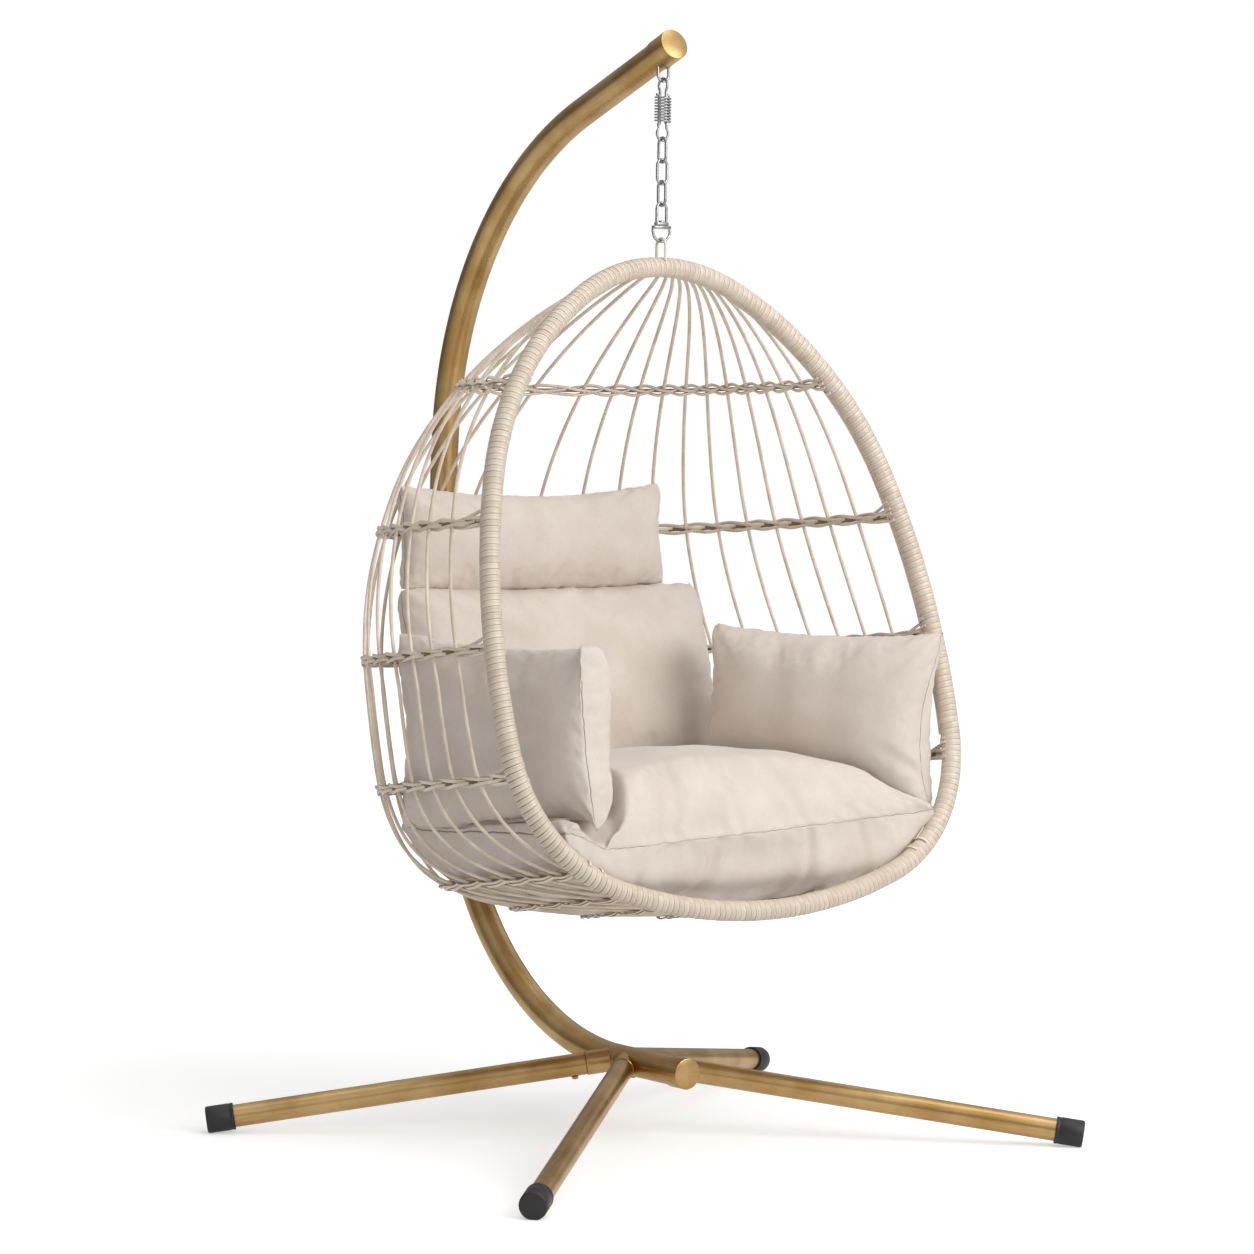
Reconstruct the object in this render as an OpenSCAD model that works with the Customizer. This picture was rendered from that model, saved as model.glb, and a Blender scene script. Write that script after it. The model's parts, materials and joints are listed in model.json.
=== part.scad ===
// Hanging egg chair: C-shaped mast on four legs, drawbar spring, chain, swivel
// hook, woven egg basket and five loose cushions. Millimetres, +Z up, the chair
// faces -Y, origin on the floor at the centre of the whole outline.

/* [Mast] */
// Height of the stand, floor to the top of the mast's cap
stand_h = 1950; // [1850:5:2050]
// Outside diameter of the mast tube
mast_d = 51; // [45:0.5:60]
// Wall of the mast tube
mast_wall = 2; // [1.5:0.1:3]
// Height of the mast's foot above the floor, to its axis
foot_axis_z = 130; // [110:1:160]
// Length of the foot tube that carries the front legs
foot_len = 186; // [170:1:260]
// Bend radius at the bottom of the mast
low_bend_r = 542; // [480:1:600]
// Angle of the bottom bend
low_bend_a = 78.6; // [74:0.1:82]
// Bend radius at the top of the mast
top_bend_r = 676; // [600:1:740]
// Angle of the top bend
top_bend_a = 64.2; // [60:0.1:68]
// Straight length at the free end of the mast
free_len = 292; // [200:1:340]
// Rise of the free end above the horizontal
free_rise_a = 21.5; // [15:0.5:28]
// Share of the back bend that belongs to the lower mast tube
joint_share = 0.55; // [0.3:0.05:0.7]
// Length of the spigots inside the mast joints
spigot_len = 60; // [40:1:80]
// Diameter of the mast screws
screw_d = 6; // [5:0.5:8]

/* [Caps] */
// Wall of the sleeve caps at both ends of the mast
cap_wall = 1.9; // [1.2:0.1:3]
// Length of the cap on the foot tube
low_cap_len = 37; // [25:1:50]
// Length of the cap on the free end
top_cap_len = 48; // [46:1:70]
// Thickness of the caps' end plates
cap_end = 3; // [2:0.5:5]

/* [Legs] */
// Outside diameter of a leg
leg_d = 40; // [34:0.5:42]
// Wall of a leg
leg_wall = 1.5; // [1.2:0.1:2.5]
// Sideways reach of the front feet
front_reach_x = 595; // [500:5:680]
// Forward reach of the front feet, ahead of the foot tube
front_reach_y = 376; // [300:2:450]
// Sideways reach of the rear feet
rear_reach_x = 625; // [520:5:700]
// Backward reach of the rear feet, behind the foot tube's front end
rear_reach_y = 582; // [500:2:660]
// Distance from the mast's lower seam forward to the front legs' root
front_root_gap = 14; // [12:0.5:20]
// Distance from the mast's lower seam back to the rear legs' root
rear_root_gap = 16; // [15:0.5:22]
// Length from the foot tube's axis to the face of a leg collar
collar_reach = 58; // [56:1:70]
// Length of the spigot that a leg slides over
leg_spigot = 45; // [35:1:60]
// Outside diameter of a leg collar
collar_d = 43; // [42.5:0.5:46]
// Diameter of a leg bolt
bolt_d = 8; // [6:0.5:10]

/* [Feet] */
// Outside diameter of a foot cap
foot_d = 48; // [46:0.5:54]
// Length of a foot cap
foot_cap_len = 50; // [35:1:70]
// End wall of a foot cap
foot_end = 5; // [3:0.5:8]
// Height of the leg axis at the outer face of a foot cap
foot_end_z = 22; // [21.5:0.5:23]

/* [Hanging hardware] */
// Wire of the hanging eye
eye_wire = 5; // [4:0.5:6]
// Inside width of the hanging eye
eye_gap = 18; // [16:1:24]
// Distance of the hanging eye behind the face of the top cap
eye_setback = 34; // [26:1:42]
// Drop of the eye's lowest bar below the mast axis
eye_drop = 51; // [48:1:60]
// Wire of the drawbars
bar_wire = 4.5; // [4:0.25:5]
// Radius of the drawbar loops, to the wire's centre
loop_r = 12; // [11:0.5:14]
// Distance between the two legs of one drawbar
bar_gap = 17; // [16.5:0.5:18]
// Straight neck between a drawbar's loop and the coil
bar_neck = 3.5; // [0:0.5:8]
// Wire of the coil spring
coil_wire = 3; // [2.5:0.25:3.5]
// Inside diameter of the coil
coil_inner = 24; // [23.5:0.5:26]
// Free length of the coil between the drawbar hooks
coil_len = 48; // [40:1:60]
// Number of turns
coil_turns = 9; // [7:1:10]
// Wire of the chain links
link_wire = 5; // [4:0.25:5.5]
// Inside length of a chain link
link_pitch = 38; // [34:0.5:42]
// Inside width of a chain link
link_gap = 16; // [13:0.5:20]
// Radius of the hook ring, to the wire's centre
hook_r = 18.5; // [16:0.5:20]
// Diameter of the swivel pin
pin_d = 6; // [5:0.5:7]

/* [Basket rim] */
// Height of the rim along its own plane, to the tube's centre
rim_h = 1142; // [1080:2:1200]
// Lean of the rim's plane, top to the back
rim_lean = 16.3; // [13:0.1:19]
// Radius at the crown of the rim
crown_r = 318; // [290:1:340]
// Radius of the shoulders of the rim
shoulder_r = 583; // [550:1:610]
// Radius of the flanks of the rim
flank_r = 1328; // [1200:2:1450]
// Diameter of the steel rim tube
rim_tube_d = 25; // [20:0.5:28]
// Wall of the steel rim tube
rim_tube_wall = 1.5; // [1:0.1:2.5]
// Diameter of the rim over its wrapping
wrap_d = 35; // [32:0.5:40]
// Inside width of the wire eyelet at the crown of the rim
eyelet_gap = 21; // [20:0.5:24]
// Height of the eyelet above the rim tube's centre
eyelet_rise = 50; // [46:0.5:56]

/* [Basket body] */
// Depth of the basket behind the rim's plane
basket_depth = 700; // [640:2:740]
// Number of ribs in the basket
rib_count = 22; // [18:2:24]
// Diameter of a rib
rib_d = 5.5; // [4.5:0.25:6]
// Width of the woven strands
strand_w = 7; // [5:0.5:8]
// Thickness of the woven strands
strand_t = 3.6; // [3:0.2:4.4]

/* [Cushions] */
// Width of the seat cushion
seat_w = 800; // [700:5:820]
// Depth of the seat cushion
seat_depth = 545; // [500:5:560]
// Height of the seat cushion's crown above its seam
seat_up = 113; // [80:1:125]
// Depth of the seat cushion below its seam, where the basket has room for it
seat_down = 150; // [100:5:160]
// Width of the back cushion
back_w = 675; // [600:5:690]
// Height of the back cushion
back_h = 360; // [340:5:380]
// Thickness of the back cushion
back_t = 110; // [80:5:120]
// Width of the head cushion
head_w = 575; // [500:5:590]
// Height of the head cushion
head_h = 185; // [160:5:190]
// Thickness of the head cushion
head_t = 100; // [80:5:110]
// Length of an arm pillow
arm_w = 450; // [380:5:460]
// Height of the left arm pillow, as it sits
arm_left_h = 310; // [240:5:330]
// Height of the right arm pillow, as it sits
arm_right_h = 335; // [240:5:340]
// Thickness of an arm pillow
arm_t = 140; // [100:5:150]

/* [Hidden] */

// Colours
gold = [0.69, 0.57, 0.36];
rubber = [0.10, 0.10, 0.10];
zinc = [0.72, 0.72, 0.73];
rattan = [0.88, 0.80, 0.70];
fabric = [0.83, 0.78, 0.74];

// Clearances and small fits
slip = 0.15;        // radial clearance of pieces that slide over one another
seat_gap = 0.1;     // gap between faces that rest on one another
run_gap = 0.3;      // gap between pieces of different bodies
$fn = 48;
far = 3000;

// ---------- mast path in the Y-Z plane: [y, z] with a heading from +Y to +Z ----------
function heading(h) = [cos(h), sin(h)];
function arc_end(p, h, r, turn) = p + r * [sin(h + turn) - sin(h), cos(h) - cos(h + turn)];

back_bend_a = 180 - free_rise_a - low_bend_a - top_bend_a;
h1 = low_bend_a;
hj = low_bend_a + back_bend_a * joint_share;
h2 = low_bend_a + back_bend_a;
h3 = 180 - free_rise_a;
tail = 11;                                  // straight tube between a seam and its bend
joint_len = spigot_len + 2 * tail;
cap_r = mast_d / 2 + slip + cap_wall;
rise_known = foot_axis_z + low_bend_r * (1 - cos(h1)) + joint_len * sin(hj)
    + top_bend_r * (cos(h2) - cos(h3)) + free_len * sin(free_rise_a) + cap_r * cos(free_rise_a);
back_bend_r = (stand_h - rise_known) / (cos(h1) - cos(h2));

// Path with the front end of the foot tube at y = 0
q1 = [foot_len + tail, foot_axis_z];
q2 = arc_end(q1, 0, low_bend_r, h1);
qj = arc_end(q2, h1, back_bend_r, hj - h1);
qk = qj + joint_len * heading(hj);
q3 = arc_end(qk, hj, back_bend_r, h2 - hj);
q4 = arc_end(q3, h2, top_bend_r, top_bend_a);
q5 = q4 + free_len * heading(h3);
mast_back = max(q2[0] + back_bend_r * (1 - sin(h1)), qk[0] + back_bend_r * (1 - sin(hj))) + mast_d / 2;

// The origin lies under the middle of the whole outline
front_root_y = foot_len - front_root_gap;
rear_root_y = foot_len + rear_root_gap;
front_run = [front_reach_x, -front_reach_y - front_root_y];
front_dir = front_run / norm(front_run);
mast_front = -front_reach_y - foot_d / 2 * front_dir[0];
shift_y = -(mast_back + mast_front) / 2;
function moved(q) = q + [shift_y, 0];
p0 = moved([0, foot_axis_z]);
p_seam = moved([foot_len, foot_axis_z]);
p_back_seam = moved(qj + tail * heading(hj));
p5 = moved(q5);

// ---------- hanging line: everything hangs under y = hang_y ----------
eye_top = p5 - eye_setback * heading(h3);
hang_y = eye_top[0];
eye_r = eye_gap / 2 + eye_wire / 2;
eye_low_z = eye_top[1] - eye_drop;                         // centre of the eye's lowest bar
z_upper_loop = eye_low_z + (eye_wire + bar_wire) / 2 + run_gap;
loop_turn = acos((bar_gap / 2 + loop_r / 2) / (loop_r * 1.5));
loop_curl = loop_r * 1.5 * sin(loop_turn);                 // loop centre to the straight legs
loop_drop = loop_curl + bar_neck;                          // loop centre to the coil
z_upper_centre = z_upper_loop - loop_r;
z_coil_top = z_upper_centre - loop_drop - coil_wire;
z_coil_low = z_coil_top - coil_len;
z_lower_centre = z_coil_low - bar_wire - loop_drop;
z_lower_loop = z_lower_centre - loop_r;                    // centre of the wire at the loop's lowest point
link_r = link_gap / 2 + link_wire / 2;
link_half = link_pitch / 2 + link_wire / 2;                // link centre to the wire's centre at its end
first_step = (bar_wire + link_wire) / 2 + run_gap;
next_step = link_wire + run_gap;
z_link_1 = z_lower_loop + first_step - link_half;
z_link_2 = z_link_1 - 2 * link_half + next_step;
z_link_3 = z_link_2 - 2 * link_half + next_step;
swivel_r = 10.5;                                           // swivel eye, to the wire's centre
z_swivel_top = z_link_3 - link_half + next_step;           // wire centre at the top of the swivel eye
yoke_t = 5.5;
swivel_leg = 26.5;
z_yoke = z_swivel_top - swivel_r - swivel_leg;             // middle of the upper yoke
z_hook_yoke = z_yoke - yoke_t - run_gap;                   // middle of the lower yoke
hook_yoke_half = hook_r * 0.94;
z_hook_centre = z_hook_yoke - sqrt(hook_r * hook_r - hook_yoke_half * hook_yoke_half);
z_hook_low = z_hook_centre - hook_r;                       // wire centre at the bottom of the hook
z_eyelet_top = z_hook_low + next_step;                     // wire centre at the top of the eyelet
crown_z = z_eyelet_top - eyelet_rise;                      // centre of the rim tube at its crown

// ---------- rim: five tangent arcs a side in the leaning plane, [x, v] with v down ----------
turn = [0, 30, 73.5, 94, 161, 180];
k1 = crown_r * sin(turn[1]) + shoulder_r * (sin(turn[2]) - sin(turn[1]))
    + flank_r * (sin(turn[3]) - sin(turn[2]));
k2 = crown_r * (1 - cos(turn[1])) + shoulder_r * (cos(turn[1]) - cos(turn[2]))
    + flank_r * (cos(turn[2]) - cos(turn[3]));
ka = sin(turn[3]) - sin(turn[4]);
kb = sin(turn[4]);
kc = cos(turn[3]) - cos(turn[4]);
kd = 1 + cos(turn[4]);
haunch_r = (rim_h - k2 - k1 * kd / kb) / (kc - kd * ka / kb);
base_r = (k1 - haunch_r * ka) / kb;
rim_r = [crown_r, shoulder_r, flank_r, haunch_r, base_r];
function rim_end(i) = i == 0 ? [0, 0] : rim_end(i - 1)
    + rim_r[i - 1] * [sin(turn[i]) - sin(turn[i - 1]), cos(turn[i - 1]) - cos(turn[i])];
rim_c = [for (i = [0:4]) rim_end(i) + rim_r[i] * [-sin(turn[i]), cos(turn[i])]];
rim_v = [for (i = [0:5]) rim_end(i)[1]];
function arc_at(v) = v < rim_v[1] ? 0 : v < rim_v[2] ? 1 : v < rim_v[3] ? 2 : v < rim_v[4] ? 3 : 4;
function rim_x(v) = rim_c[arc_at(v)][0]
    + sqrt(max(0, pow(rim_r[arc_at(v)], 2) - pow(v - rim_c[arc_at(v)][1], 2)));

// Distance from a point to the rim tube's centre line
function in_rim(p) = let (d = p - [0, hang_y, crown_z])
    [abs(p[0]), -d[1] * sin(rim_lean) - d[2] * cos(rim_lean), d[1] * cos(rim_lean) - d[2] * sin(rim_lean)];
function arc_gap(q, i) = let (a = atan2(q[0] - rim_c[i][0], rim_c[i][1] - q[1]))
    a < turn[i] - 0.01 || a > turn[i + 1] + 0.01 ? far : abs(norm([q[0], q[1]] - rim_c[i]) - rim_r[i]);
function rim_gap(p) = let (q = in_rim(p)) norm([min([for (i = [0:4]) arc_gap(q, i)]), q[2]]);

// ---------- basket surface: t runs from the crown (0) to the bottom (180), u across (0 to 1) ----------
belly_h = 0.62;      // share of the rim's height at which the basket is deepest
side_power = 2.8;    // squareness of the hoops in plan
low_bulge = 50;      // how far the low hoops swell past the rim
function depth_at(h) = basket_depth
    * (h < belly_h ? 1 - pow(1 - h / belly_h, 2.1)
        : sqrt(max(0, 1 - pow((h - belly_h) / (1 - belly_h), 8))));
function bulge_at(h) = low_bulge * pow(h, 4) * depth_at(h) / basket_depth;
function power_cos(a) = sign(cos(a)) * pow(abs(cos(a)), 2 / side_power);
function power_sin(a) = pow(abs(sin(a)), 2 / side_power);
function shell(t, a) = let (
    h = (1 - cos(t)) / 2,
    v = h * rim_h,
    back = depth_at(h) * power_sin(a),
    x = (rim_x(v) + bulge_at(h) * (1 - pow(1 - sin(a), 4))) * power_cos(a))
    [x, hang_y - v * sin(rim_lean) + back, crown_z - v * cos(rim_lean) - (0.02 + 0.14 * h) * back];

// Rib number s (1 to rib_count) lies at angle rib_angle(s, t); low down it runs out to the rim
function rib_end(s) = 150 + 28 * (min(s, rib_count + 1 - s) - 1) / (rib_count / 2 - 1);
function fan(s, t) = 180 * s / (rib_count + 1) - min(14, 11 * (1 - cos(t))) * sin(360 * s / (rib_count + 1));
function fade(s, t) = let (f = (t / rib_end(s) - 0.8) / 0.2) f <= 0 ? 1 : f >= 1 ? 0 : 1 - f * f;
function rib_angle(s, t) = 2 * s < rib_count + 1
    ? fan(s, t) * fade(s, t)
    : 180 - (180 - fan(s, t)) * fade(s, t);
function rib_point(s, t) = shell(t, rib_angle(s, t));

// Unit vectors at a place on the weave
function unit(v) = v / max(norm(v), 0.0001);
function along_rib(s, t) = unit(rib_point(s, t + 0.5) - rib_point(s, t - 0.5));
function along_hoop(s, t) = unit(rib_point(s + 0.02, t) - rib_point(s - 0.02, t));

// ---------- sweeping a section along points, with the section's first axis along given normals ----------
function tangent(p, i) = unit(p[min(i + 1, len(p) - 1)] - p[max(i - 1, 0)]);
function ring_at(q, t, out, section) = let (n = unit(out - (out * t) * t), b = cross(t, n))
    [for (c = section) q + c[0] * n + c[1] * b];
module sweep(p, out, section) {
    n = len(section);
    last = len(p) - 1;
    polyhedron(
        points = [for (i = [0:last]) each ring_at(p[i], tangent(p, i), out[i], section)],
        faces = concat(
            [for (j = [1:n - 2]) [0, j, j + 1]],
            [for (j = [1:n - 2]) [last * n, last * n + j + 1, last * n + j]],
            [for (i = [0:last - 1], j = [0:n - 1]) each [
                [i * n + j, (i + 1) * n + j, (i + 1) * n + (j + 1) % n],
                [i * n + j, (i + 1) * n + (j + 1) % n, i * n + (j + 1) % n]]]));
}
function round_section(r, n) = [for (j = [0:n - 1]) r * [cos(360 * j / n), sin(360 * j / n)]];
function flat_section(t, w) = [[t / 2, w / 2], [-t / 2, w / 2], [-t / 2, -w / 2], [t / 2, -w / 2]];

// How far the nearest corner of a section lies outside the wrapping of the rim
function clear_of_rim(ring) = min([for (c = ring) rim_gap(c)]) - wrap_d / 2 - run_gap;

// ---------- bent tubes and wires ----------
// A run is a list of [length, 0] for a straight and [radius, turn] for a bend, turning left if positive.
// It starts at [x, y, heading]; neighbours meet inside a thin weld ring.
joint_gap = 0.1;
ring_half = 0.6;
ring_up = 0.05;
function bend_centre(st, seg) = [st[0], st[1]] + sign(seg[1]) * seg[0] * [-sin(st[2]), cos(st[2])];
function next_state(st, seg) = seg[1] == 0
    ? [st[0] + seg[0] * cos(st[2]), st[1] + seg[0] * sin(st[2]), st[2]]
    : let (c = bend_centre(st, seg), h = st[2] + seg[1], k = sign(seg[1]) * seg[0])
        [c[0] + k * sin(h), c[1] - k * cos(h), h];
function states(run, st, i = 0) = i == len(run)
    ? [st] : concat([st], states(run, next_state(st, run[i]), i + 1));
module tube_section(ro, ri) difference() {
    circle(r = ro);
    if (ri > 0) circle(r = ri);
}
module tube(ro, ri, len_t) difference() {
    cylinder(r = ro, h = len_t);
    if (ri > 0) translate([0, 0, -1]) cylinder(r = ri, h = len_t + 2);
}
module at_state(st) translate([st[0], st[1], 0]) rotate([0, 0, st[2]]) rotate([0, 90, 0]) children();
module bent(run, st, ro, ri = 0, closed = false) {
    all = states(run, st);
    last = len(run) - 1;
    half = min(ring_half, ro * 0.2);
    for (i = [0:last]) {
        cut0 = i > 0 || closed ? joint_gap : 0;
        cut1 = i < last || closed ? joint_gap : 0;
        seg = run[i];
        deg = 180 / PI / seg[0];
        c = bend_centre(all[i], seg);
        if (seg[1] == 0) at_state(all[i]) translate([0, 0, cut0]) tube(ro, ri, seg[0] - cut0 - cut1);
        if (seg[1] > 0) translate(c) rotate([0, 0, all[i][2] - 90 + cut0 * deg])
            rotate_extrude(angle = seg[1] - (cut0 + cut1) * deg, $fn = 96) translate([seg[0], 0])
                tube_section(ro, ri);
        if (seg[1] < 0) translate(c) rotate([0, 0, all[i][2] + 90 + seg[1] + cut1 * deg])
            rotate_extrude(angle = -seg[1] - (cut0 + cut1) * deg, $fn = 96) translate([seg[0], 0])
                tube_section(ro, ri);
    }
    for (i = [closed ? 0 : 1:last]) at_state(all[i]) translate([0, 0, -half])
        tube(ro + ring_up, ri > 0 ? ri - ring_up : 0, 2 * half);
}
// The mast's plane: local X runs along +Y and local Y along +Z
module in_mast_plane() rotate([90, 0, 90]) children();
module at_mast(p, h) translate([0, p[0], p[1]]) rotate([h, 0, 0]) children();

// ---------- mast ----------
mast_r = mast_d / 2;
bore_r = mast_r - mast_wall;
spigot_r = bore_r - slip;
spigot_in_r = spigot_r - 2.5;
shoulder_len = 3;

front_foot = [front_reach_x, shift_y - front_reach_y, foot_end_z];
rear_foot = [rear_reach_x, shift_y + rear_reach_y, foot_end_z];
front_root = [0, shift_y + front_root_y, foot_axis_z];
rear_root = [0, shift_y + rear_root_y, foot_axis_z];
function leg_root(front) = front ? front_root : rear_root;
function leg_vec(front) = (front ? front_foot : rear_foot) - leg_root(front);

// Local +Z runs out along a leg from its root; side is 1 for +X and -1 for -X
module along_leg(front, side) {
    d = leg_vec(front);
    mirror([side < 0 ? 1 : 0, 0, 0])
        translate(leg_root(front)) rotate([0, 0, atan2(d[1], d[0])])
            rotate([0, 90 + asin(-d[2] / norm(d)), 0]) children();
}
module each_leg() for (front = [true, false], side = [-1, 1]) along_leg(front, side) children();

leg_r = leg_d / 2;
leg_in_r = leg_r - leg_wall;
leg_spigot_r = leg_in_r - slip;
leg_spigot_in_r = leg_spigot_r - 3;
bolt_at = collar_reach + leg_spigot / 2;
module bolt_hole(r) translate([0, 0, bolt_at]) rotate([0, 90, 0]) cylinder(r = r, h = leg_r + 5);

module leg_collar(front) for (side = [-1, 1]) along_leg(front, side) {
    cylinder(d = collar_d, h = collar_reach);
    cylinder(r = leg_spigot_r, h = collar_reach + leg_spigot);
}
module leg_bores(front) for (side = [-1, 1]) along_leg(front, side) {
    cylinder(r = leg_spigot_in_r, h = far / 10);
    bolt_hole(bolt_d / 2 + slip);
}
foot_run = [[tail, 0], [low_bend_r, h1]];
module mast_base() color(gold) difference() {
    union() {
        at_mast(p0, 0) rotate([-90, 0, 0]) tube(mast_r, bore_r, foot_len - seat_gap);
        difference() {
            leg_collar(true);
            at_mast(p0 - [50, 0], 0) rotate([-90, 0, 0])
                cylinder(r = mast_r - mast_wall / 2, h = foot_len + 100);
        }
    }
    leg_bores(true);
    mast_screw_holes(screw_d / 2 + slip);
}

// Spigot let into the end of a tube, its seam at local Z = 0 and the spigot along +Z
module spigot_end() rotate_extrude() polygon([
    [spigot_in_r, -shoulder_len], [bore_r + ring_up, -shoulder_len], [bore_r + ring_up, -slip],
    [spigot_r, -slip], [spigot_r, spigot_len], [spigot_in_r, spigot_len]]);
module mast_lower() color(gold) difference() {
    union() {
        in_mast_plane() bent(concat(foot_run, [[back_bend_r, hj - h1], [tail, 0]]),
            [p_seam[0], p_seam[1], 0], mast_r, bore_r);
        at_mast(p_seam, 180) rotate([-90, 0, 0]) spigot_end();
        at_mast(p_back_seam, hj) rotate([-90, 0, 0]) spigot_end();
        difference() {
            leg_collar(false);
            in_mast_plane() bent([[100 + tail, 0], [low_bend_r, 20]], [p_seam[0] - 100, p_seam[1], 0],
                mast_r - mast_wall / 2);
        }
    }
    leg_bores(false);
    mast_screw_holes(screw_d / 2);
}
module mast_upper() color(gold) difference() {
    in_mast_plane() bent([[joint_len - tail - seat_gap, 0], [back_bend_r, h2 - hj], [top_bend_r, top_bend_a],
        [free_len - cap_end - seat_gap, 0]],
        [p_back_seam[0] + seat_gap * cos(hj), p_back_seam[1] + seat_gap * sin(hj), hj], mast_r, bore_r);
    mast_screw_holes(screw_d / 2 + slip);
    eye_holes();
}

// Screws of the two mast joints, from the outer side of the bow
module each_screw() {
    at_mast(p_seam - [spigot_len / 2, 0], 0) children();
    at_mast(p_back_seam + spigot_len / 2 * heading(hj), hj) children();
}
module mast_screw_holes(r) each_screw() translate([0, 0, -mast_r - 2]) cylinder(r = r, h = 12);
module mast_screws() color(gold) each_screw() translate([0, 0, -mast_r - 2.4 - seat_gap]) {
    cylinder(r1 = screw_d * 0.6, r2 = screw_d * 0.9, h = 2.4);
    cylinder(r = screw_d / 2 - slip, h = 11);
}

// Sleeve caps; local +Z runs out of the tube
module sleeve_cap(len_c) difference() {
    cylinder(r = cap_r, h = len_c);
    translate([0, 0, -1]) cylinder(r = mast_r + slip, h = len_c - cap_end + 1);
}
module mast_low_cap() color(gold) translate([0, p0[0] + low_cap_len - cap_end - seat_gap, foot_axis_z])
    rotate([90, 0, 0]) sleeve_cap(low_cap_len);
module mast_top_cap() color(gold) difference() {
    at_mast(p5, h3) rotate([-90, 0, 0]) translate([0, 0, -top_cap_len]) sleeve_cap(top_cap_len);
    eye_holes();
}

// ---------- legs and feet ----------
leg_start = collar_reach + seat_gap;
function leg_stop(front) = norm(leg_vec(front)) - foot_end - seat_gap;
module leg(front, side) color(gold) along_leg(front, side) difference() {
    translate([0, 0, leg_start]) cylinder(r = leg_r, h = leg_stop(front) - leg_start);
    cylinder(r = leg_in_r, h = far);
    bolt_hole(bolt_d / 2 + slip);
}
module foot(front, side) color(rubber) intersection() {
    along_leg(front, side) translate([0, 0, norm(leg_vec(front)) - foot_cap_len]) difference() {
        union() {
            cylinder(r = foot_d / 2, h = foot_cap_len - 2);
            translate([0, 0, foot_cap_len - 2]) cylinder(r1 = foot_d / 2, r2 = foot_d / 2 - 2, h = 2);
        }
        translate([0, 0, -1]) cylinder(r = leg_r + slip, h = foot_cap_len - foot_end + 1);
    }
    translate([-far / 2, -far / 2, 0]) cube([far, far, far]);
}
module leg_front_left() leg(true, 1);
module leg_front_right() leg(true, -1);
module leg_rear_left() leg(false, 1);
module leg_rear_right() leg(false, -1);
module foot_front_left() foot(true, 1);
module foot_front_right() foot(true, -1);
module foot_rear_left() foot(false, 1);
module foot_rear_right() foot(false, -1);
module leg_bolts() color(gold) each_leg() translate([leg_spigot_in_r - 6, 0, bolt_at])
    rotate([0, 90, 0]) {
        cylinder(d = bolt_d, h = leg_r - leg_spigot_in_r + 6 + seat_gap);
        translate([0, 0, leg_r - leg_spigot_in_r + 6 + seat_gap])
            cylinder(r1 = bolt_d * 0.85, r2 = bolt_d * 0.7, h = 4.5);
    }

// ---------- hanging hardware; all wires are round ----------
module at_hang(z) translate([0, hang_y, z]) children();
module in_xz() rotate([90, 0, 0]) children();
module in_yz() rotate([90, 0, 90]) children();
module wire(run, st, d, closed = false) bent(run, st, d / 2, 0, closed, $fn = 32);

eye_leg = eye_drop - eye_r - bore_r / cos(free_rise_a) + 9;
module eye_holes() for (side = [-1, 1])
    at_hang(eye_low_z + eye_r - 1) translate([side * eye_r, 0, 0])
        cylinder(d = eye_wire + 2 * slip, h = eye_leg + 6);
module hanging_eye() color(zinc) at_hang(eye_low_z + eye_r) in_xz()
    wire([[eye_leg, 0], [eye_r, 180], [eye_leg, 0]], [-eye_r, eye_leg, -90], eye_wire);

// A drawbar in the local X-Y plane: loop at +Y with its centre at the origin, two legs and turned-out hooks
hook_bend = bar_wire * 0.75;
hook_tip = 2.2;
module drawbar() wire([[hook_tip, 0], [hook_bend, -90], [bar_leg + bar_neck, 0], [loop_r / 2, -loop_turn],
    [loop_r, 180 + 2 * loop_turn], [loop_r / 2, -loop_turn], [bar_leg + bar_neck, 0], [hook_bend, -90],
    [hook_tip, 0]],
    [bar_gap / 2 + hook_bend + hook_tip, -loop_drop - bar_leg - hook_bend, 180], bar_wire);
bar_leg = coil_len + coil_wire + bar_wire / 2 - hook_bend + seat_gap;
module upper_drawbar() color(zinc) at_hang(z_upper_centre) in_yz() drawbar();
module lower_drawbar() color(zinc) at_hang(z_lower_centre) in_xz() mirror([0, 1, 0]) drawbar();

// Coil spring, closed and ground flat at both ends
coil_r = coil_inner / 2 + coil_wire / 2;
coil_steps = 10;
function coil_point(i) = let (
    a = 360 * i / coil_steps,
    rise = (coil_len - 2 * coil_wire) * i / (coil_turns * coil_steps))
    [coil_r * cos(a), coil_r * sin(a), coil_wire / 2 + rise];
module spring_coil() color(zinc) at_hang(z_coil_low + coil_wire / 2) {
    n = 5;
    count = coil_turns * coil_steps;
    polyhedron(
        points = [for (i = [0:count], j = [0:n - 1]) let (a = 360 * i / coil_steps, p = coil_point(i))
            p + coil_wire / 2 * (cos(360 * j / n) * [cos(a), sin(a), 0] + sin(360 * j / n) * [0, 0, 1])],
        faces = concat(
            [[for (j = [n - 1:-1:0]) j]],
            [[for (j = [0:n - 1]) count * n + j]],
            [for (i = [0:count - 1], j = [0:n - 1]) each [
                [i * n + j, i * n + (j + 1) % n, (i + 1) * n + (j + 1) % n],
                [i * n + j, (i + 1) * n + (j + 1) % n, (i + 1) * n + j]]]));
}

// A chain link in the local X-Y plane, long along Y
module chain_link() wire([[2 * (link_half - link_r), 0], [link_r, 180], [2 * (link_half - link_r), 0],
    [link_r, 180]], [link_r, link_r - link_half, 90], link_wire, closed = true);
module chain_link_1() color(zinc) at_hang(z_link_1) in_yz() chain_link();
module chain_link_2() color(zinc) at_hang(z_link_2) in_xz() chain_link();
module chain_link_3() color(zinc) at_hang(z_link_3) in_yz() chain_link();

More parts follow.
